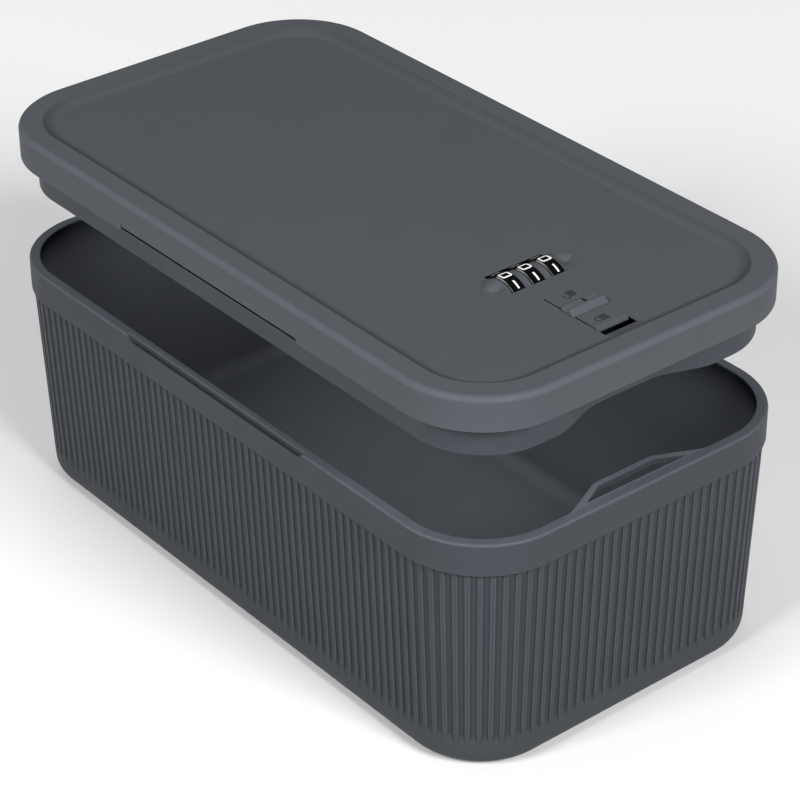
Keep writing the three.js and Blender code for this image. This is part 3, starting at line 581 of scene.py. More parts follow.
# --------------------------------------------------------------- the lid shell
def build_lid():
    corner = [i / 22 for i in range(23)]
    ax, by = A - CORNER, B - CORNER
    cols = column_path(
        even(-ax, ax, 6.0, (-9.2, -8.6, -8.0, -7.4, -6.8, 6.8, 7.4, 8.0, 8.6, 9.2)),
        even(-by, by, 6.0, (-55.4, -54.9, -54.6, -54.2, 54.2, 54.6, 54.9, 55.4)),
        corner,
    )
    y = np.abs(np.nan_to_num(cols[:, 4], nan=999.0))
    lift = SLIT_TOP * (1 - smooth(y, 54.3, 54.7))
    rows = [ring(cols, LID_WALL, lift * 1.0)]
    rows += [ring(cols, 0.5, lift), ring(cols, 0.15, lift + 0.12), ring(cols, 0.0, lift + 0.45)]
    rows.append(ring(cols, 0.0, LID_H - LID_EDGE - 3))
    for i in range(11):
        t = i / 10 * math.pi / 2
        rows.append(ring(cols, LID_EDGE * (1 - math.cos(t)), LID_H - LID_EDGE * (1 - math.sin(t))))
    for i in range(3):
        rows.append(ring(cols, 3.2 + i * 2.5, LID_H))
    # A hollow curve from a crisp crease to the level; before the track's window it is a plain ramp.
    x = np.abs(np.nan_to_num(cols[:, 5], nan=999.0))
    flat = np.where(cols[:, 1] < 0, 1 - smooth(x, 7.0, 9.0), 0.0)
    ramp_end = B - 133.9
    fall = LID_H - DISH_Z
    rows.append(ring(cols, DISH_IN - 0.22, LID_H))
    rows.append(ring(cols, DISH_IN - 0.07, LID_H - 0.012))
    for d in (0.07, 0.2, 0.4, 0.65, 1.0, 1.4, 1.85, 2.3, 2.8, 3.3, 3.9, 4.5, 5.1, 5.6, 6.0, ramp_end - DISH_IN):
        hollow = fall * max(0.0, 1 - d / 5.0) ** 1.5 - (0.02 if d == 0.07 else 0.0)
        plain = fall * max(0.0, 1 - d / (ramp_end - DISH_IN))
        rows.append(ring(cols, DISH_IN + d, DISH_Z + hollow * (1 - flat) + plain * flat))
    rows.append(ring(cols, 16.5, DISH_Z))
    # The inside, down to the wall's bottom edge again: a second closed loft, taken away.
    v, f = loft(rows)
    ob = make("lid_top", v, f, mat_lid, Z0)
    under = DISH_Z - SKIN
    inner = [ring(cols, LID_WALL, -1), ring(cols, LID_WALL, LID_H - SKIN - 0.8),
             ring(cols, LID_WALL + 0.8, LID_H - SKIN), ring(cols, DISH_IN - 0.4, LID_H - SKIN),
             ring(cols, DISH_IN + 3.0, under)]
    v, f = loft(inner)
    boolean(ob, make("cutter", v, f, None, Z0), solver="EXACT")

    for s in (-1, 1):
        xs = sorted((s * (A - LID_WALL - 0.2), s * (A + 1)))
        boolean(ob, block(xs[0], xs[1], GRIP + 0.4, GRIP + 1.0, 0.4, SLIT_TOP + 1.4, zadd=Z0), solver="EXACT")

    # Eye-shaped thumb recess: steep at its edges, broad at the bottom.
    verts, faces = [], []
    nx, na = 64, 40
    L = 22.0
    for i in range(nx + 1):
        x = -L + 2 * L * i / nx
        q = min(abs(x) / L, 0.9995)
        w = 5.5 * (1 - q ** 2.4) ** 0.5 + 0.02
        dep = 2.0 * (1 - q ** 3.4) + 0.02
        for j in range(na):
            th = 2 * math.pi * j / na
            c, n_ = math.cos(th), math.sin(th)
            c = math.copysign(abs(c) ** 0.8, c)
            n_ = math.copysign(abs(n_) ** 0.8, n_)
            verts.append((x, DIAL_Y + w * c, DISH_Z + 0.02 + (dep if n_ < 0 else 0.6) * n_))
    for i in range(nx):
        for j in range(na):
            a, b = i * na + j, i * na + (j + 1) % na
            faces.append([a, b, b + na, a + na])
    faces.append([j for j in range(na)][::-1])
    faces.append([nx * na + j for j in range(na)])
    cut = make("cutter", verts, faces, None, Z0)
    outward(cut)
    boolean(ob, cut, solver="EXACT")
    # Wheel window.
    boolean(ob, rod_x(DIAL_R + 0.42, -CHEEK_X - 0.04, CHEEK_X + 0.04, DIAL_Y, DIAL_Z, 96, Z0), solver="EXACT")
    boolean(ob, block(-15.5, 15.5, DIAL_Y - 9.9, DIAL_Y + 9.9, under - 1, under + 0.4, zadd=Z0), solver="EXACT")
    boolean(ob, block(-7.8, 7.8, -133.9, -101, under - 1, LID_H + 1, 0.4, zadd=Z0), solver="EXACT")
    boolean(ob, block(-10.5, 10.8, -135.6, -124.6, under - 1, DISH_Z - 0.5, 0.4, zadd=Z0), solver="EXACT")
    for s in (-1, 1):
        boolean(ob, saddle(s), "UNION", "EXACT")
    ob.data.materials.append(mat_shade_and_print_black)
    ob.data.materials.append(mat_recess_light_shade)
    for p in ob.data.polygons:
        c = p.center / MM
        z = c.z - Z0
        rad = math.hypot(c.y - DIAL_Y, z - DIAL_Z)
        behind = abs(rad - DIAL_R - 0.42) < 0.06 and abs(c.x) < CHEEK_X and c.y > DIAL_Y
        below = under - 0.01 < z < DISH_Z - 0.45 and abs(c.x) < 11.5 and -136 < c.y < -124 and abs(p.normal.z) < 0.9
        slit = p.normal.z < -0.9 and abs(z - SLIT_TOP) < 0.02 and abs(c.y) < 54.5 and abs(c.x) > 70
        # Painted shade: the wheel window's rear wall, the walls under the track window's front and the grip slit's roof
        # are black.
        if behind or below or slit:
            p.material_index = len(ob.data.materials) - 2
        # The thumb recess's faces take the painted light and shade.
        hollow = abs(c.x) > CHEEK_X + 0.01 and abs(c.y - DIAL_Y) < 5.5 and p.normal.z > 0.1
        if hollow and abs(c.x) < 22.5 and z > DISH_Z - 2.1 and not (p.normal.z > 0.9999 and abs(z - DISH_Z) < 0.01):
            p.material_index = len(ob.data.materials) - 1
    dress(ob, "lid", "lid_shell", angle=38)
    return crease_flat(ob, Z0 + DISH_Z)


def saddle(s):
    """The rise from the thumb recess to the cheek beside the outer wheel."""
    verts, faces = [], []
    nx, ny = 14, 36
    x_in, long = CHEEK_X + 0.04, 6.0
    for i in range(nx + 1):
        u = i / nx
        x = x_in + long * u
        q = x / 22.0
        w = 5.5 * (1 - q ** 2.4) ** 0.5 + 0.02
        dep = 2.0 * (1 - q ** 3.4) + 0.02
        for j in range(ny + 1):
            dy = -7.2 + 14.4 * j / ny
            c = min(abs(dy) / w, 1.0) ** 1.25
            scoop = DISH_Z + 0.02 - dep * max(1 - c * c, 0.0) ** 0.4
            scoop = min(scoop, DISH_Z)
            cheek = DIAL_Z + math.sqrt((DIAL_R - 0.55) ** 2 - dy * dy)
            z = scoop + max(cheek - scoop, 0.0) * (1 - u) ** 3 - 0.04 * u - 0.005
            verts.append((s * x, DIAL_Y + dy, z))
    n = ny + 1
    base = len(verts)
    for i in range(nx + 1):
        for j in range(ny + 1):
            x, y, _ = verts[i * n + j]
            verts.append((x, y, DISH_Z - SKIN + 0.25))
    for i in range(nx):
        for j in range(ny):
            a = i * n + j
            faces.append([a, a + n, a + n + 1, a + 1])
            faces.append([base + a, base + a + 1, base + a + n + 1, base + a + n])
    for i in range(nx):
        for j in (0, ny):
            a = i * n + j
            faces.append([a, base + a, base + a + n, a + n])
    for j in range(ny):
        for i in (0, nx):
            a = i * n + j
            faces.append([a, a + 1, base + a + 1, base + a])
    return outward(make("cutter", verts, faces, None, Z0))


def crease_flat(ob, z):
    """A crisp line where the level top meets the thumb recess and the windows cut into it."""
    bm = bmesh.new()
    bm.from_mesh(ob.data)

    def level(x0, x1, y0, y1):
        out = []
        for f in bm.faces:
            c = f.calc_center_median() / MM
            if f.normal.z > 0.99999 and abs(c.z - z) < 2e-3 and x0 < c.x < x1 and y0 < c.y < y1:
                out.append(f)
        return out

    def cut(x0, x1, y0, y1, axis, at):
        fs = level(x0, x1, y0, y1)
        geom = list({v for f in fs for v in f.verts}) + list({e for f in fs for e in f.edges}) + fs
        no = (1, 0, 0) if axis == 0 else (0, 1, 0)
        co = (at * MM, 0, 0) if axis == 0 else (0, at * MM, 0)
        bmesh.ops.bisect_plane(bm, geom=geom, dist=1e-7, plane_co=co, plane_no=no)

    # Small cells, so that no shading is stretched over the level top.
    for at in range(-60, 61, 12):
        cut(-90, 90, -160, 160, 0, at)
    for at in range(-132, 133, 12):
        cut(-90, 90, -160, 160, 1, at)
    for at in range(-24, 25, 2):
        cut(-25, 25, -137, -70, 0, at + 0.013)
    for at in range(-136, -70, 2):
        cut(-25, 25, -137, -70, 1, at + 0.017)
    for e in bm.edges:
        if len(e.link_faces) != 2:
            continue
        flat = [
            abs(f.normal.z) > 0.99999 and abs(f.calc_center_median().z - z * MM) < 2e-6
            for f in e.link_faces
        ]
        mid = (e.verts[0].co + e.verts[1].co) / 2 / MM
        if flat[0] != flat[1] and abs(mid.x) < 24 and -136 < mid.y < -74:
            e.smooth = False
    bm.to_mesh(ob.data)
    bm.free()
    return ob


def outward(ob):
    bm = bmesh.new()
    bm.from_mesh(ob.data)
    bmesh.ops.recalc_face_normals(bm, faces=bm.faces)
    bm.to_mesh(ob.data)
    bm.free()
    return ob


def rod_x(r, x0, x1, y, z, seg=64, zadd=0.0, name="cutter", mat=None):
    pts = [(r * math.cos(2 * math.pi * i / seg), r * math.sin(2 * math.pi * i / seg)) for i in range(seg)]
    v = [(x0, y + c, z + s) for c, s in pts] + [(x1, y + c, z + s) for c, s in pts]
    f = [[i, (i + 1) % seg, seg + (i + 1) % seg, seg + i] for i in range(seg)]
    f += [list(range(seg))[::-1], list(range(seg, 2 * seg))]
    return outward(make(name, v, f, mat, zadd))


def turned(profile, seg, axis, centre, name, mat, zadd=0.0):
    """A closed profile of (radius, height) turned about X or Z; ends on the axis at radius 0."""
    v, f, n = [], [], len(profile)
    for r, h in profile:
        for i in range(seg):
            th = 2 * math.pi * i / seg
            c, s = r * math.cos(th), r * math.sin(th)
            v.append((h, c, s) if axis == "X" else (c, s, h))
    v = [(a + centre[0], b + centre[1], c + centre[2]) for a, b, c in v]
    closed = profile[0] == profile[-1]
    for j in range(n - 1):
        for i in range(seg):
            a, b = j * seg + i, j * seg + (i + 1) % seg
            f.append([a, b, b + seg, a + seg])
    ob = make(name, v, f, mat, zadd)
    bm = bmesh.new()
    bm.from_mesh(ob.data)
    bmesh.ops.remove_doubles(bm, verts=bm.verts, dist=1e-7)
    bmesh.ops.dissolve_degenerate(bm, edges=bm.edges, dist=1e-8)
    if not closed:
        bmesh.ops.holes_fill(bm, edges=[e for e in bm.edges if e.is_boundary])
    bmesh.ops.recalc_face_normals(bm, faces=bm.faces)
    bm.to_mesh(ob.data)
    bm.free()
    return ob


# ------------------------------------------------------- the liner's skirt
def skirt_points(inset):
    """The skirt's outline with its step at the front, counter-clockwise from the right."""
    ax, by = A - CORNER, B - CORNER
    r = CORNER - inset
    out = []
    for sx, sy, k in ((1, 1, 0), (-1, 1, 1), (-1, -1, 2)):
        for i in range(23):
            th = (k + i / 22) * math.pi / 2
            out.append((sx * ax + r * math.cos(th), sy * by + r * math.sin(th)))
    y0 = -B + inset
    deep = NOTCH_Y + (inset - SKIRT_IN) - y0

    def ease(x):
        t = min(max((NOTCH_B - abs(x)) / (NOTCH_B - NOTCH_A), 0.0), 1.0)
        return (t + t * t * (3 - 2 * t)) / 2

    for x in [-42.0 + i * 1.2 for i in range(71)]:
        e = sum(ease(x + d) for d in (-1.5, -0.75, 0.0, 0.75, 1.5)) / 5
        out.append((x, y0 + deep * e))
    for i in range(23):
        th = (3 + i / 22) * math.pi / 2
        out.append((ax + r * math.cos(th), -by + r * math.sin(th)))
    return np.array(out)


def build_liner():
    cols = column_path([], [], [i / 22 for i in range(23)])
    top = LINER_Z + LINER_T
    rows = [ring(cols, LINER_IN + 0.3, LINER_Z), ring(cols, LINER_IN, LINER_Z + 0.3),
            ring(cols, LINER_IN, top - 0.3), ring(cols, LINER_IN + 0.3, top)]
    v, f = loft(rows)
    ob = make("lid_lining", v, f, mat_liner, Z0)

    def r3(inset, z):
        p = skirt_points(inset)
        return np.c_[p, np.full(len(p), z)]

    o, i_ = SKIRT_IN, SKIRT_IN + SKIRT_T
    zb = -SKIRT_D
    rows = [r3(o + 0.9, zb), r3(o + 0.45, zb + 0.07), r3(o + 0.15, zb + 0.28), r3(o, zb + 0.7),
            r3(o, -8), r3(o, -3), r3(o, LINER_Z + 0.8)]
    v, f = loft(rows)
    skirt = make("cutter", v, f, None, Z0)
    rows = [r3(i_ - 0.6, zb - 1), r3(i_ - 0.6, zb + 0.0), r3(i_ - 0.2, zb + 0.2), r3(i_, zb + 0.6),
            r3(i_, LINER_Z - 1.5), r3(i_ + 0.3, LINER_Z - 0.6), r3(i_ + 1.2, LINER_Z + 0.0)]
    v, f = loft(rows)
    boolean(skirt, make("cutter2", v, f, None, Z0), solver="EXACT")
    boolean(ob, skirt, "UNION", "EXACT")
    for s in (-1, 1):
        yy = GRIP + 0.7
        xs = sorted((s * (A - 3.2), s * (A - 0.15)))
        boolean(ob, block(xs[0], xs[1], -yy, yy, 0, 0.6, 0.3, bevel=0.12, zadd=Z0), "UNION", "EXACT")
        xs = sorted((s * (A - 0.55), s * (A - 0.15)))
        boolean(ob, block(xs[0], xs[1], -yy, yy, 0.05, SLIT_LOW, bevel=0.1, zadd=Z0), "UNION", "EXACT")
    boolean(ob, block(-26.6, 26.6, -99.5, -66.8, LINER_Z - 1, top + 1, zadd=Z0), solver="EXACT")
    boolean(ob, block(-16.5, 16.5, -132, -99.4, LINER_Z - 1, top + 1, zadd=Z0), solver="EXACT")
    boolean(ob, block(-7.5, 9, -139.5, -133.2, -10.1, -2.5, zadd=Z0), solver="EXACT")
    for s in (-1, 1):
        x = s * 15
        y = B - SKIRT_IN
        yn = B - RIM_W - 0.45
        pr = [(y - 1, -7.0), (yn, -5.7), (yn, -4.9), (y - 1, -4.7)]
        v = [(x - 6, a, b) for a, b in pr] + [(x + 6, a, b) for a, b in pr]
        f = [[3, 2, 1, 0], [4, 5, 6, 7]] + [[i, (i + 1) % 4, 4 + (i + 1) % 4, 4 + i] for i in range(4)]
        boolean(ob, outward(make("cutter", v, f, None, Z0)), "UNION", "EXACT")
    ob.data.materials.append(mat_shade_and_print_black)
    # Painted shade: the liner's faces inside the grip slit are black.
    for p in ob.data.polygons:
        c = p.center / MM
        if abs(c.x) > A - 4 and abs(c.y) < GRIP + 1 and SLIT_LOW - 0.03 < c.z - Z0 < 3.0:
            p.material_index = len(ob.data.materials) - 1
    return dress(ob, "lid", "lid_liner", angle=38)


# --------------------------------------------------------- wheels and numerals
def build_wheels():
    w = DIAL_W / 2
    R = DIAL_R - 0.04
    prof = [(4.3, -w), (9.2, -w)]
    prof += [(10.7, -w), (R - 0.42, -w + 0.02), (R - 0.22, -w + 0.11), (R - 0.08, -w + 0.25), (R - 0.02, -w + 0.38), (R, -w + 0.5)]
    prof += [(R, w - 0.4), (R - 0.06, w - 0.2), (R - 0.18, w - 0.07), (R - 0.34, w - 0.02), (10.7, w)]
    prof += [(9.2, w), (4.3, w), (4.3, -w)]
    for i, x in enumerate((-PITCH, 0.0, PITCH)):
        n = i + 1
        ob = turned(prof, 120, "X", (x, DIAL_Y, DIAL_Z), f"number_wheel_{n}", mat_dial, Z0)
        # Painted highlight: the rounded left edge of the tread is painted bright.
        ob.data.materials.append(mat_dial_edge_highlight)
        for p in ob.data.polygons:
            c = p.center / MM
            rad = math.hypot(c.y - DIAL_Y, c.z - Z0 - DIAL_Z)
            if c.x < x - w + 0.36 and rad > R - 0.44:
                p.material_index = 1
        dress(ob, f"dial_{n}", f"dial_wheel_{n}", angle=40, slot="dial_plastic")
        digits(n, x)


def stroke(points, half, closed=False):
    """A flat ribbon along a line in the wheel's unrolled surface; returns its two edges as points (x, s), and whether
    it is closed.
    """
    # fillet the corners, then walk in short steps
    pts = rounded(points, 0.6, 6) if closed else None
    if not closed:
        pts = [points[0]]
        for k in range(1, len(points) - 1):
            p0, p, p1 = (Vector(points[k + d]) for d in (-1, 0, 1))
            a, b = p0 - p, p1 - p
            r = min(0.6, a.length * 0.49, b.length * 0.49)
            a, b = p + a.normalized() * r, p + b.normalized() * r
            for j in range(7):
                t = j / 6
                pts.append(tuple(a * (1 - t) ** 2 + p * (2 * t * (1 - t)) + b * t * t))
        pts.append(points[-1])
    walk = []
    n = len(pts)
    for k in range(n if closed else n - 1):
        p, q = Vector(pts[k]), Vector(pts[(k + 1) % n])
        m = max(1, int((q - p).length / 0.3))
        for j in range(m):
            walk.append(p + (q - p) * (j / m))
    if not closed:
        walk.append(Vector(pts[-1]))
    n = len(walk)
    left, right = [], []
    for k in range(n):
        if closed:
            d = walk[(k + 1) % n] - walk[k - 1]
        else:
            d = walk[min(k + 1, n - 1)] - walk[max(k - 1, 0)]
        if d.length < 1e-6:
            d = Vector((1, 0))
        d.normalize()
        nrm = Vector((-d.y, d.x)) * half
        left.append(walk[k] + nrm)
        right.append(walk[k] - nrm)
    return left, right, closed


def digits(n, xc):
    a, b, m = 1.95, 1.58, 0.0
    right_by = 0.3
    g = {
        0: [([(-a, -b), (a, -b), (a, b), (-a, b)], True)],
        1: [([(0, -1.1), (0, 2.7)], False)],
        2: [([(-a, b), (a, b), (a, m), (-a, m), (-a, -b), (a, -b)], False)],
        3: [([(-a, b), (a, b), (a, -b), (-a, -b)], False), ([(-a * 0.4, m), (a, m)], False)],
        4: [([(-a, b), (-a, m), (a, m)], False), ([(a, b), (a, -b)], False)],
        5: [([(a, b), (-a, b), (-a, m), (a, m), (a, -b), (-a, -b)], False)],
        6: [([(a, b), (-a, b), (-a, -b), (a, -b), (a, m), (-a, m)], False)],
        7: [([(-a, b), (a, b), (-a * 0.2, -b)], False)],
        8: [([(-a, -b), (a, -b), (a, b), (-a, b)], True), ([(-a, m), (a, m)], False)],
        9: [([(-a, -b), (a, -b), (a, b), (-a, b), (-a, m), (a, m)], False)],
    }
    verts, faces = [], []
    for d in range(10):
        centre = math.radians(6 - 36 * d)  # towards +Y is positive
        for k, (line, closed) in enumerate(g[d]):
            left, right, closed = stroke(line, 0.37 if d == 1 else 0.31, closed)
            lo, hi = DIAL_R - 0.3, DIAL_R - 0.012 - 0.004 * k
            base = len(verts)
            cnt = len(left)
            for p, q in zip(left, right):
                for pt, r in ((p, hi), (q, hi), (q, lo), (p, lo)):
                    th = centre + pt[1] / DIAL_R
                    verts.append((xc + right_by + pt[0], DIAL_Y + r * math.sin(th), DIAL_Z + r * math.cos(th)))
            for i in range(cnt if closed else cnt - 1):
                s, e = base + 4 * i, base + 4 * ((i + 1) % cnt)
                for c in range(4):
                    faces.append([s + c, s + (c + 1) % 4, e + (c + 1) % 4, e + c])
            if not closed:
                faces.append([base + 3, base + 2, base + 1, base])
                s = base + 4 * (cnt - 1)
                faces.append([s, s + 1, s + 2, s + 3])
    ob = make(f"numerals_{n}", verts, faces, mat_digit, Z0)
    outward(ob)
    dress(ob, f"dial_{n}", angle=30, slot="dial_plastic")


# ------------------------------------------------------- housing between wheels
def build_housing():
    fx, y0, y1, zl, zt = 19.6, DIAL_Y - 13.8, DIAL_Y + 14.2, -9.6, DISH_Z - SKIN - 0.3
    ob = block(-fx, fx, y0, y1, zl, zt, 0.8, "lock_frame", mat_lock, zadd=Z0)
    boolean(ob, block(-15.5, 15.5, DIAL_Y - 12, DIAL_Y + 12.8, zl - 1, zt + 1, zadd=Z0), solver="EXACT")
    half = DIAL_W / 2 + 0.2
    webs = [(-CHEEK_X, -PITCH - half), (-PITCH + half, -half), (half, PITCH - half), (PITCH + half, CHEEK_X)]
    for k, (a, b) in enumerate(webs):
        r = DIAL_R - 0.5
        e = 0.2
        top = [(7.1, a), (r - e, a), (r - e * 0.3, a + e * 0.3), (r, a + e), (r, b - e), (r - e * 0.3, b - e * 0.3), (r - e, b), (7.1, b), (7.1, a)]
        web = turned(top, 120, "X", (0, DIAL_Y, DIAL_Z), "cutter", None, Z0)
        boolean(web, block(a - 1, b + 1, DIAL_Y - 14, DIAL_Y + 14, -16, DIAL_Z - 3.2, zadd=Z0), solver="EXACT")
        # The arch stops short of the window's rear edge and leaves a dark gap there.
        boolean(web, block(a - 1, b + 1, DIAL_Y + 3.4, DIAL_Y + 14, DISH_Z - 3.4, 16, zadd=Z0), solver="EXACT")
        boolean(ob, web, "UNION", "EXACT")
        for s in (-1, 1):
            ys = sorted((DIAL_Y + s * 9.2, DIAL_Y + s * 12.9))
            a2, b2 = (-15.2 if k == 0 else a), (15.2 if k == 3 else b)
            boolean(ob, block(a2, b2, ys[0], ys[1], -3.6, 4.6, zadd=Z0), "UNION", "EXACT")
    for x, y in ((-23.5, DIAL_Y + 9.6), (23.5, DIAL_Y + 9.6), (-23.5, DIAL_Y - 9.6), (23.5, DIAL_Y - 9.6)):
        xs = sorted((math.copysign(fx - 1, x), math.copysign(26.3, x)))
        ear = block(xs[0], xs[1], y - 3, y + 3, 1.7, 3.7, 0.8, zadd=Z0)
        boolean(ear, disc_z(1.5, 1, 5, x, y), solver="EXACT")
        boolean(ob, ear, "UNION", "EXACT")
    boolean(ob, rod_x(1.8, -fx - 1, fx + 1, DIAL_Y, DIAL_Z, 40, Z0), solver="EXACT")
    for x in (-PITCH, 0.0, PITCH):
        boolean(ob, block(x + DIAL_W / 2 + 0.05, x + DIAL_W / 2 + 2.45, y0 - 1, DIAL_Y - 6, 0.9, 3.6, zadd=Z0), solver="EXACT")
    boolean(ob, block(-14.6, 14.6, DIAL_Y + 11.75, DIAL_Y + 12.9, -10.6, 4.6, zadd=Z0), solver="EXACT")
    ob.data.materials.append(mat_shade_and_print_black)
    # Painted shade: the housing's faces behind the wheels are black.
    for p in ob.data.polygons:
        c = p.center / MM
        if abs(c.x) < 15.4 and c.y > DIAL_Y + 3.3 and c.z - Z0 > -4:
            p.material_index = len(ob.data.materials) - 1
    return dress(ob, "lid", "lock_housing", angle=38)


def disc_z(r, z0, z1, x, y, seg=32, name="cutter", mat=None):
    return prism(
        [(x + r * math.cos(2 * math.pi * i / seg), y + r * math.sin(2 * math.pi * i / seg)) for i in range(seg)],
        z0, z1, name, mat, zadd=Z0,
    )


# ------------------------------------------------------------ slider and track
def build_slider():
    zb = DISH_Z + 0.06
    nx, ny = 72, 56
    x0, x1 = -8.5, 8.5
    yr, yf = -110.0, -118.2
    # Height across the slider, from its rear edge to its front edge.
    prof = [(-110.0, 0.5), (-111.0, 0.72), (-113.2, 0.92), (-114.4, 1.05), (-114.85, 1.25), (-115.2, 1.7),
            (-115.55, 2.03), (-115.9, 2.1), (-116.3, 2.0), (-116.9, 1.55), (-117.4, 1.1), (-117.85, 0.62),
            (-118.05, 0.36), (-118.2, 0.0)]
    py = np.array([p[0] for p in prof])[::-1]
    pz = np.array([p[1] + (0.24 if p[1] > 0.01 else 0.0) for p in prof])[::-1]
    verts, faces = [], []

    def bounds_y(x):
        # The left end is rounded at the rear and a little at the front.
        d = x - x0
        r = 3.2
        rear = yr - (r - math.sqrt(max(r * r - (r - d) ** 2, 0))) if d < r else yr
        d2 = x1 - x
        r2 = 0.7
        rear2 = yr - (r2 - math.sqrt(max(r2 * r2 - (r2 - d2) ** 2, 0))) if d2 < r2 else yr
        r3 = 1.1
        front = yf + (r3 - math.sqrt(max(r3 * r3 - (r3 - d) ** 2, 0))) if d < r3 else yf
        front2 = yf + (r2 - math.sqrt(max(r2 * r2 - (r2 - d2) ** 2, 0))) if d2 < r2 else yf
        return min(rear, rear2) - 0.07 * d, max(front, front2)

    xs = [x0 + (x1 - x0) * (0.5 - 0.5 * math.cos(math.pi * i / nx)) for i in range(nx + 1)]
    for x in xs:
        rear, front = bounds_y(x)
        dx = min(x - x0, x1 - x)
        for j in range(ny + 1):
            v = 0.5 - 0.5 * math.cos(math.pi * j / ny)
            y = front + (rear - front) * v
            # keep the profile's place in y; round the ends down
            h = float(np.interp(y, py, pz))
            ridge = max(0.0, h - 1.0)
            rr = 0.9
            end = math.sqrt(max(0.0, 1 - (1 - min(dx / rr, 1)) ** 2))
            h = (h - ridge) * (0.35 + 0.65 * math.sqrt(max(0.0, 1 - (1 - min(dx / 0.45, 1)) ** 2))) + ridge * end
            verts.append((x, y, zb + max(h, 0.02)))
    n = ny + 1
    for i in range(nx):
        for j in range(ny):
            a = i * n + j
            faces.append([a, a + n, a + n + 1, a + 1])
    base = len(verts)
    edge = [j for j in range(n)] + [i * n + ny for i in range(1, nx + 1)] + [nx * n + j for j in range(ny - 1, -1, -1)] + [i * n for i in range(nx - 1, 0, -1)]
    low = []
    for k in edge:
        x, y, _ = verts[k]
        low.append(len(verts))
        verts.append((x, y, zb))
    m = len(edge)
    for k in range(m):
        faces.append([edge[k], edge[(k + 1) % m], low[(k + 1) % m], low[k]])
    faces.append(low[::-1])
    ob = outward(make("slider_grip", verts, faces, mat_slider, Z0))
    # Stem down to the bolt.
    stem = block(-2.4, 2.4, -113.4, -110.6, 5.6, zb + 0.3, 0.4, zadd=Z0)
    boolean(stem, disc_z(1.2, 5, 11.6, 0, -112.05), solver="EXACT")
    boolean(ob, stem, "UNION", "EXACT")
    dress(ob, "latch", "slider_button", angle=42, slot="lid_plastic")

    # A small arrow on the rear strip, pointing to the front.
    mark = [(-0.38, -0.5), (-0.38, 1.1), (-0.9, 1.1), (0, 2.6), (0.9, 1.1), (0.38, 1.1), (0.38, -0.5)]
    v = []
    for dz in (-0.25, 0.05):
        for a, b in mark:
            x, y = 1.9 + a, -111.3 - b
            v.append((x, y, zb + float(np.interp(y, py, pz)) + dz))
    n = len(mark)
    f = [[i, (i + 1) % n, n + (i + 1) % n, n + i] for i in range(n)]
    f += [list(range(n))[::-1], list(range(n, 2 * n))]
    ob = outward(make("slider_arrow", v, f, mat_shade_and_print_black, Z0))
    dress(ob, "latch", angle=30, slot="lid_plastic")


def build_track():
    under = DISH_Z - SKIN - 0.3
    pad = DISH_Z - 0.04
    ob = block(-14.5, 14.5, -134.2, -99.2, under - 2.2, under, 0.6, "slide_track", mat_track, zadd=Z0)
    boolean(ob, block(-10.8, 10.8, -135, -125.5, 5, 14, 0.3, zadd=Z0), solver="EXACT")
    # The pad that fills the window: level, with a round nose over a void at the front.
    low = DISH_Z - 0.12 - 1.9
    nose = [(-129.2 + 2.0 * (1 - math.cos(t * math.pi / 16)), pad - 1.5 * (1 - math.sin(t * math.pi / 16))) for t in range(9)]
    pr = [(-125.5, under - 0.5), (-125.5, low), (-129.1, low), (-129.2, low + 0.1)] + nose + [(-100.98, pad), (-100.98, under - 0.5)]
    xl, xr = -7.8 + 0.95, 7.8 + 0.02
    v, f = [], []
    sides = [(xl, 0.12), (xl + 0.12, 0.0), (xr - 0.06, 0.0), (xr, 0.0)]
    for xx, dz in sides:
        for a, b in pr:
            v.append((xx, a, b - (dz if b > pad - 0.3 else 0)))
    n = len(pr)
    for k in range(3):
        for i in range(n):
            f.append([k * n + i, k * n + (i + 1) % n, (k + 1) * n + (i + 1) % n, (k + 1) * n + i])
    f.append(list(range(n))[::-1])
    f.append([3 * n + i for i in range(n)])
    boolean(ob, outward(make("cutter", v, f, None, Z0)), "UNION", "EXACT")
    boolean(ob, block(-2.8, 2.8, -113.4 - 4.65, -110.4 + 0.3, 5, 14, 0.5, zadd=Z0), solver="EXACT")
    # The pad's left edge overhangs, which leaves a dark gap beside it.
    boolean(ob, block(-9.0, xl + 1.3, -125.4, -100.7, under - 0.01, pad - 0.32, zadd=Z0), solver="EXACT")
    for sx in (-11, 11):
        boolean(ob, disc_z(1.5, 5, under + 1, sx, -104), solver="EXACT")
    ob.data.materials.append(mat_shade_and_print_black)
    # Painted shade: the track's faces low under the pad's nose are black.
    for p in ob.data.polygons:
        c = p.center / MM
        if c.y < -121 and c.z - Z0 < pad - 1.45:
            p.material_index = len(ob.data.materials) - 1
    dress(ob, "lid", "track_plate", angle=38)
    padlock("mark_open", 1.1, -104.4, True, pad)
    padlock("mark_locked", -1.1, -124.1, False, pad)


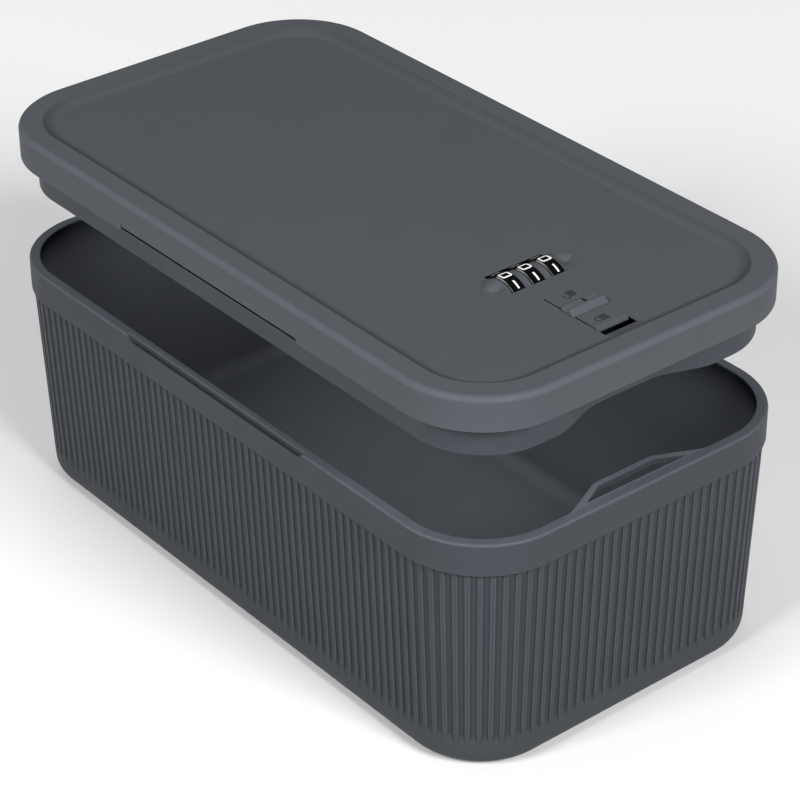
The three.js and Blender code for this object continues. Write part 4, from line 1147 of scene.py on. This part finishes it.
def padlock(name, x, y, is_open, pad):
    """A plain padlock sign, lying on its side: shackle to the left, body to the right."""
    verts, faces = [], []

    def add(outline, hi):
        n = len(outline)
        b = len(verts)
        for z in (pad - 0.1, pad + hi):
            verts.extend((px, py, z) for px, py in outline)
        for i in range(n):
            faces.append([b + i, b + (i + 1) % n, b + n + (i + 1) % n, b + n + i])
        faces.append([b + i for i in range(n)][::-1])
        faces.append([b + n + i for i in range(n)])

    add(rounded([(x, y - 1.8), (x + 3.3, y - 1.8), (x + 3.3, y + 1.8), (x, y + 1.8)], 0.4), 0.05)
    ro, ri = 1.5, 0.98
    cy = y - (1.0 if is_open else 0.0)
    cx = x - 0.9
    a0, a1 = (115, 330) if is_open else (90, 270)
    outer = [(cx + ro * math.cos(math.radians(a0 + (a1 - a0) * i / 20)), cy + ro * math.sin(math.radians(a0 + (a1 - a0) * i / 20))) for i in range(21)]
    inner = [(cx + ri * math.cos(math.radians(a0 + (a1 - a0) * i / 20)), cy + ri * math.sin(math.radians(a0 + (a1 - a0) * i / 20))) for i in range(21)]
    if not is_open:
        outer = [(x + 0.05, cy + ro)] + outer + [(x + 0.05, cy - ro)]
        inner = [(x + 0.05, cy + ri)] + inner + [(x + 0.05, cy - ri)]
    add(outer + inner[::-1], 0.045)
    ob = outward(make(name, verts, faces, mat_mark, Z0))
    dress(ob, "lid", angle=30, slot="lid_plastic")


# ---------------------------------------------------------------------- screws
def screw(name, x, y, z, long, head, shank, body, node, recess=True):
    """A pan-head screw, head down, with a cross recess in its head."""
    seg = 48
    prof = [(0.0, -1.5)]
    rings = 9
    for i in range(1, rings + 1):
        q = i / rings
        r = head * (0.97 * q)
        prof.append((r, -1.5 + 0.72 * q ** 4))
    prof += [(head, -0.55), (head, -0.12), (head - 0.12, 0.0), (shank + 0.25, 0.0), (shank, 0.2)]
    th = 0.55
    z_ = 0.55
    while z_ < long - 1.2:
        prof += [(shank - 0.16, z_), (shank, z_ + th * 0.35)]
        z_ += th
    prof += [(shank - 0.1, long - 0.7), (shank * 0.35, long), (0.0, long)]
    v, f = [], []
    for r, h in prof:
        for i in range(seg):
            a = 2 * math.pi * i / seg
            px, py = r * math.cos(a), r * math.sin(a)
            hh = h
            if recess and h < -0.7:
                arm = min(max((0.42 - min(abs(px), abs(py))) / 0.18, 0), 1)
                reach = min(max((head * 0.62 - max(abs(px), abs(py))) / 0.3, 0), 1)
                hh = h + 0.8 * arm * reach
            v.append((x + px, y + py, z + hh))
    n = len(prof)
    for j in range(n - 1):
        for i in range(seg):
            a, b = j * seg + i, j * seg + (i + 1) % seg
            f.append([a, b, b + seg, a + seg])
    ob = make(name, v, f, mat_steel, Z0)
    bm = bmesh.new()
    bm.from_mesh(ob.data)
    bmesh.ops.remove_doubles(bm, verts=bm.verts, dist=1e-7)
    bmesh.ops.dissolve_degenerate(bm, edges=bm.edges, dist=1e-8)
    bmesh.ops.recalc_face_normals(bm, faces=bm.faces)
    bm.to_mesh(ob.data)
    bm.free()
    dress(ob, body, node, angle=40)


def build_screws():
    for i, (x, y) in enumerate(((-62, 112), (62, 112), (-68, 10), (68, 10), (-60, -108), (60, -108))):
        screw(f"pan_screw_liner_{i+1}", x, y, LINER_Z - 0.3, 7.6, 2.6, 1.15, "lid", f"liner_screw_{i+1}")
    for i, (x, y) in enumerate(((-29.6, -70), (29.6, -70), (-29.6, -126), (29.6, -126))):
        screw(f"pan_screw_cover_{i+1}", x, y, -2.3, 7.6, 2.4, 1.0, "lid", f"cover_screw_{i+1}")


# --------------------------------------------- the lock's cover and inner pieces
def tidy_node(node, width, mat, segments=2):
    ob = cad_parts[node]
    ob.data.materials.clear()
    ob.data.materials.append(mat)
    w = ob.modifiers.new("weld", "WELD")
    w.merge_threshold = 0.00002
    if width:
        d = ob.modifiers.new("flat", "DECIMATE")
        d.decimate_type = "DISSOLVE"
        d.angle_limit = math.radians(1.0)
        b = ob.modifiers.new("round", "BEVEL")
        b.width = width * MM
        b.segments = segments
        b.limit_method = "ANGLE"
        b.angle_limit = math.radians(40)
        n = ob.modifiers.new("normals", "WEIGHTED_NORMAL")
        n.keep_sharp = True


def dress_nodes():
    tidy_node("lock_cover", 0.5, mat_liner, 3)
    tidy_node("code_change_button", 0.35, mat_hub, 3)
    tidy_node("latch_bolt", 0.25, mat_bolt_shade_black, 2)
    tidy_node("fence_comb", 0.1, mat_steel, 1)
    tidy_node("detent_spring", 0, mat_spring)
    for i in (1, 2, 3):
        tidy_node(f"code_hub_{i}", 0, mat_hub)
    for n in ("dial_spindle", "slider_screw"):
        tidy_node(n, 0, mat_steel)
    for n in ("spindle_clip", "spindle_spring"):
        tidy_node(n, 0, mat_spring)
    for n in [f"housing_screw_{i}" for i in (1, 2, 3, 4)] + ["track_screw_1", "track_screw_2"]:
        tidy_node(n, 0, mat_steel)


# ----------------------------------------------------------------------- stage
def build_stage():
    m, t, p = nodes_of("pale_floor")
    c = coords(t)
    near = colours(t, noise(t, 1.2, 3.0, 0.5, c), (0.76, 0.76, 0.76), (0.78, 0.78, 0.78))
    # Painted light: the floor is painted brighter away from the box, where the lamps' light falls off.
    length = t.nodes.new("ShaderNodeVectorMath")
    length.operation = "LENGTH"
    t.links.new(c, length.inputs[0])
    painted_light_away = ramp(t, length.outputs["Value"], 0.0, 1.0, 0.25, 0.85)
    t.links.new(mixed(t, painted_light_away, near, (0.97, 0.97, 0.97)), p.inputs["Base Color"])
    t.links.new(ramp(t, noise(t, 3.0, 3.0, 0.5, c), 0.78, 0.9), p.inputs["Roughness"])
    p.inputs["Specular IOR Level"].default_value = 0.1
    s = 4000.0
    floor = make("floor", [(-s, -s, -0.02), (s, -s, -0.02), (s, s, -0.02), (-s, s, -0.02)], [[0, 1, 2, 3]], m)
    world = bpy.data.worlds.new("studio")
    world.use_nodes = True
    bg = world.node_tree.nodes["Background"]
    bg.inputs["Color"].default_value = (1, 1, 1, 1)
    bg.inputs["Strength"].default_value = 0.13
    scene.world = world

    def area_light(name, loc, size, power, target=(0, 0, 0.08)):
        d = bpy.data.lights.new(name, "AREA")
        d.shape = "RECTANGLE"
        d.size, d.size_y = size
        d.energy = power
        o = bpy.data.objects.new(name, d)
        scene.collection.objects.link(o)
        o.location = loc
        o.rotation_euler = (Vector(target) - Vector(loc)).to_track_quat("-Z", "Y").to_euler()
        return o

    area_light("overhead", (0.2, 0.7, 1.80), (1.4, 1.4), 8.0)
    area_light("left", (-1.79, -0.12, 1.36), (0.8, 0.7), 40.0, (0.0, 0.0, 0.1))
    area_light("front", (-0.05, -1.82, 1.36), (0.8, 0.7), 52.0, (0.0, 0.0, 0.1))
    # Light that reaches the inside between tub and raised lid.
    fill = area_light("inside", (0.0, 0.0, 0.1005), (0.125, 0.26), 0.22, (0.0, 0.0, 0.0))
    fill.rotation_euler = (0.0, 0.0, 0.0)
    fill.visible_camera = False
    fill.visible_glossy = False


def build_camera():
    f, az, el, roll = 2841.76, math.radians(-38.96), math.radians(31.91), math.radians(-0.47)
    tx, ty, dist = -9.89, -2.21, 1103.93
    back = Vector((math.sin(az) * math.cos(el), -math.cos(az) * math.cos(el), math.sin(el)))
    x0 = Vector((0, 0, 1)).cross(back).normalized()
    y0 = back.cross(x0)
    x = math.cos(roll) * x0 + math.sin(roll) * y0
    y = -math.sin(roll) * x0 + math.cos(roll) * y0
    # A little further back than the fitted camera, so the level lid fits in.
    back_off = 1.025
    d = dist * back_off
    shift_x, shift_y = -8.0, -8.0  # the picture moves right and down by these pixels
    ox = -tx + shift_x * d / f
    oy = -ty - shift_y * d / f
    loc = (Vector((0, 0, 60.0)) + x * ox + y * oy + back * d) * MM
    cam = bpy.data.cameras.new("camera")
    cam.sensor_width = 36.0
    cam.lens = 36.0 * f / 800.0
    cam.clip_start, cam.clip_end = 0.05, 20.0
    o = bpy.data.objects.new("camera", cam)
    scene.collection.objects.link(o)
    o.matrix_world = Matrix(((x.x, y.x, back.x, loc.x), (x.y, y.y, back.y, loc.y), (x.z, y.z, back.z, loc.z), (0, 0, 0, 1)))
    scene.camera = o


scene.view_settings.view_transform = "Standard"
build_tub()
build_lid()
build_liner()
build_wheels()
build_housing()
build_slider()
build_track()
build_screws()
dress_nodes()
build_stage()
build_camera()
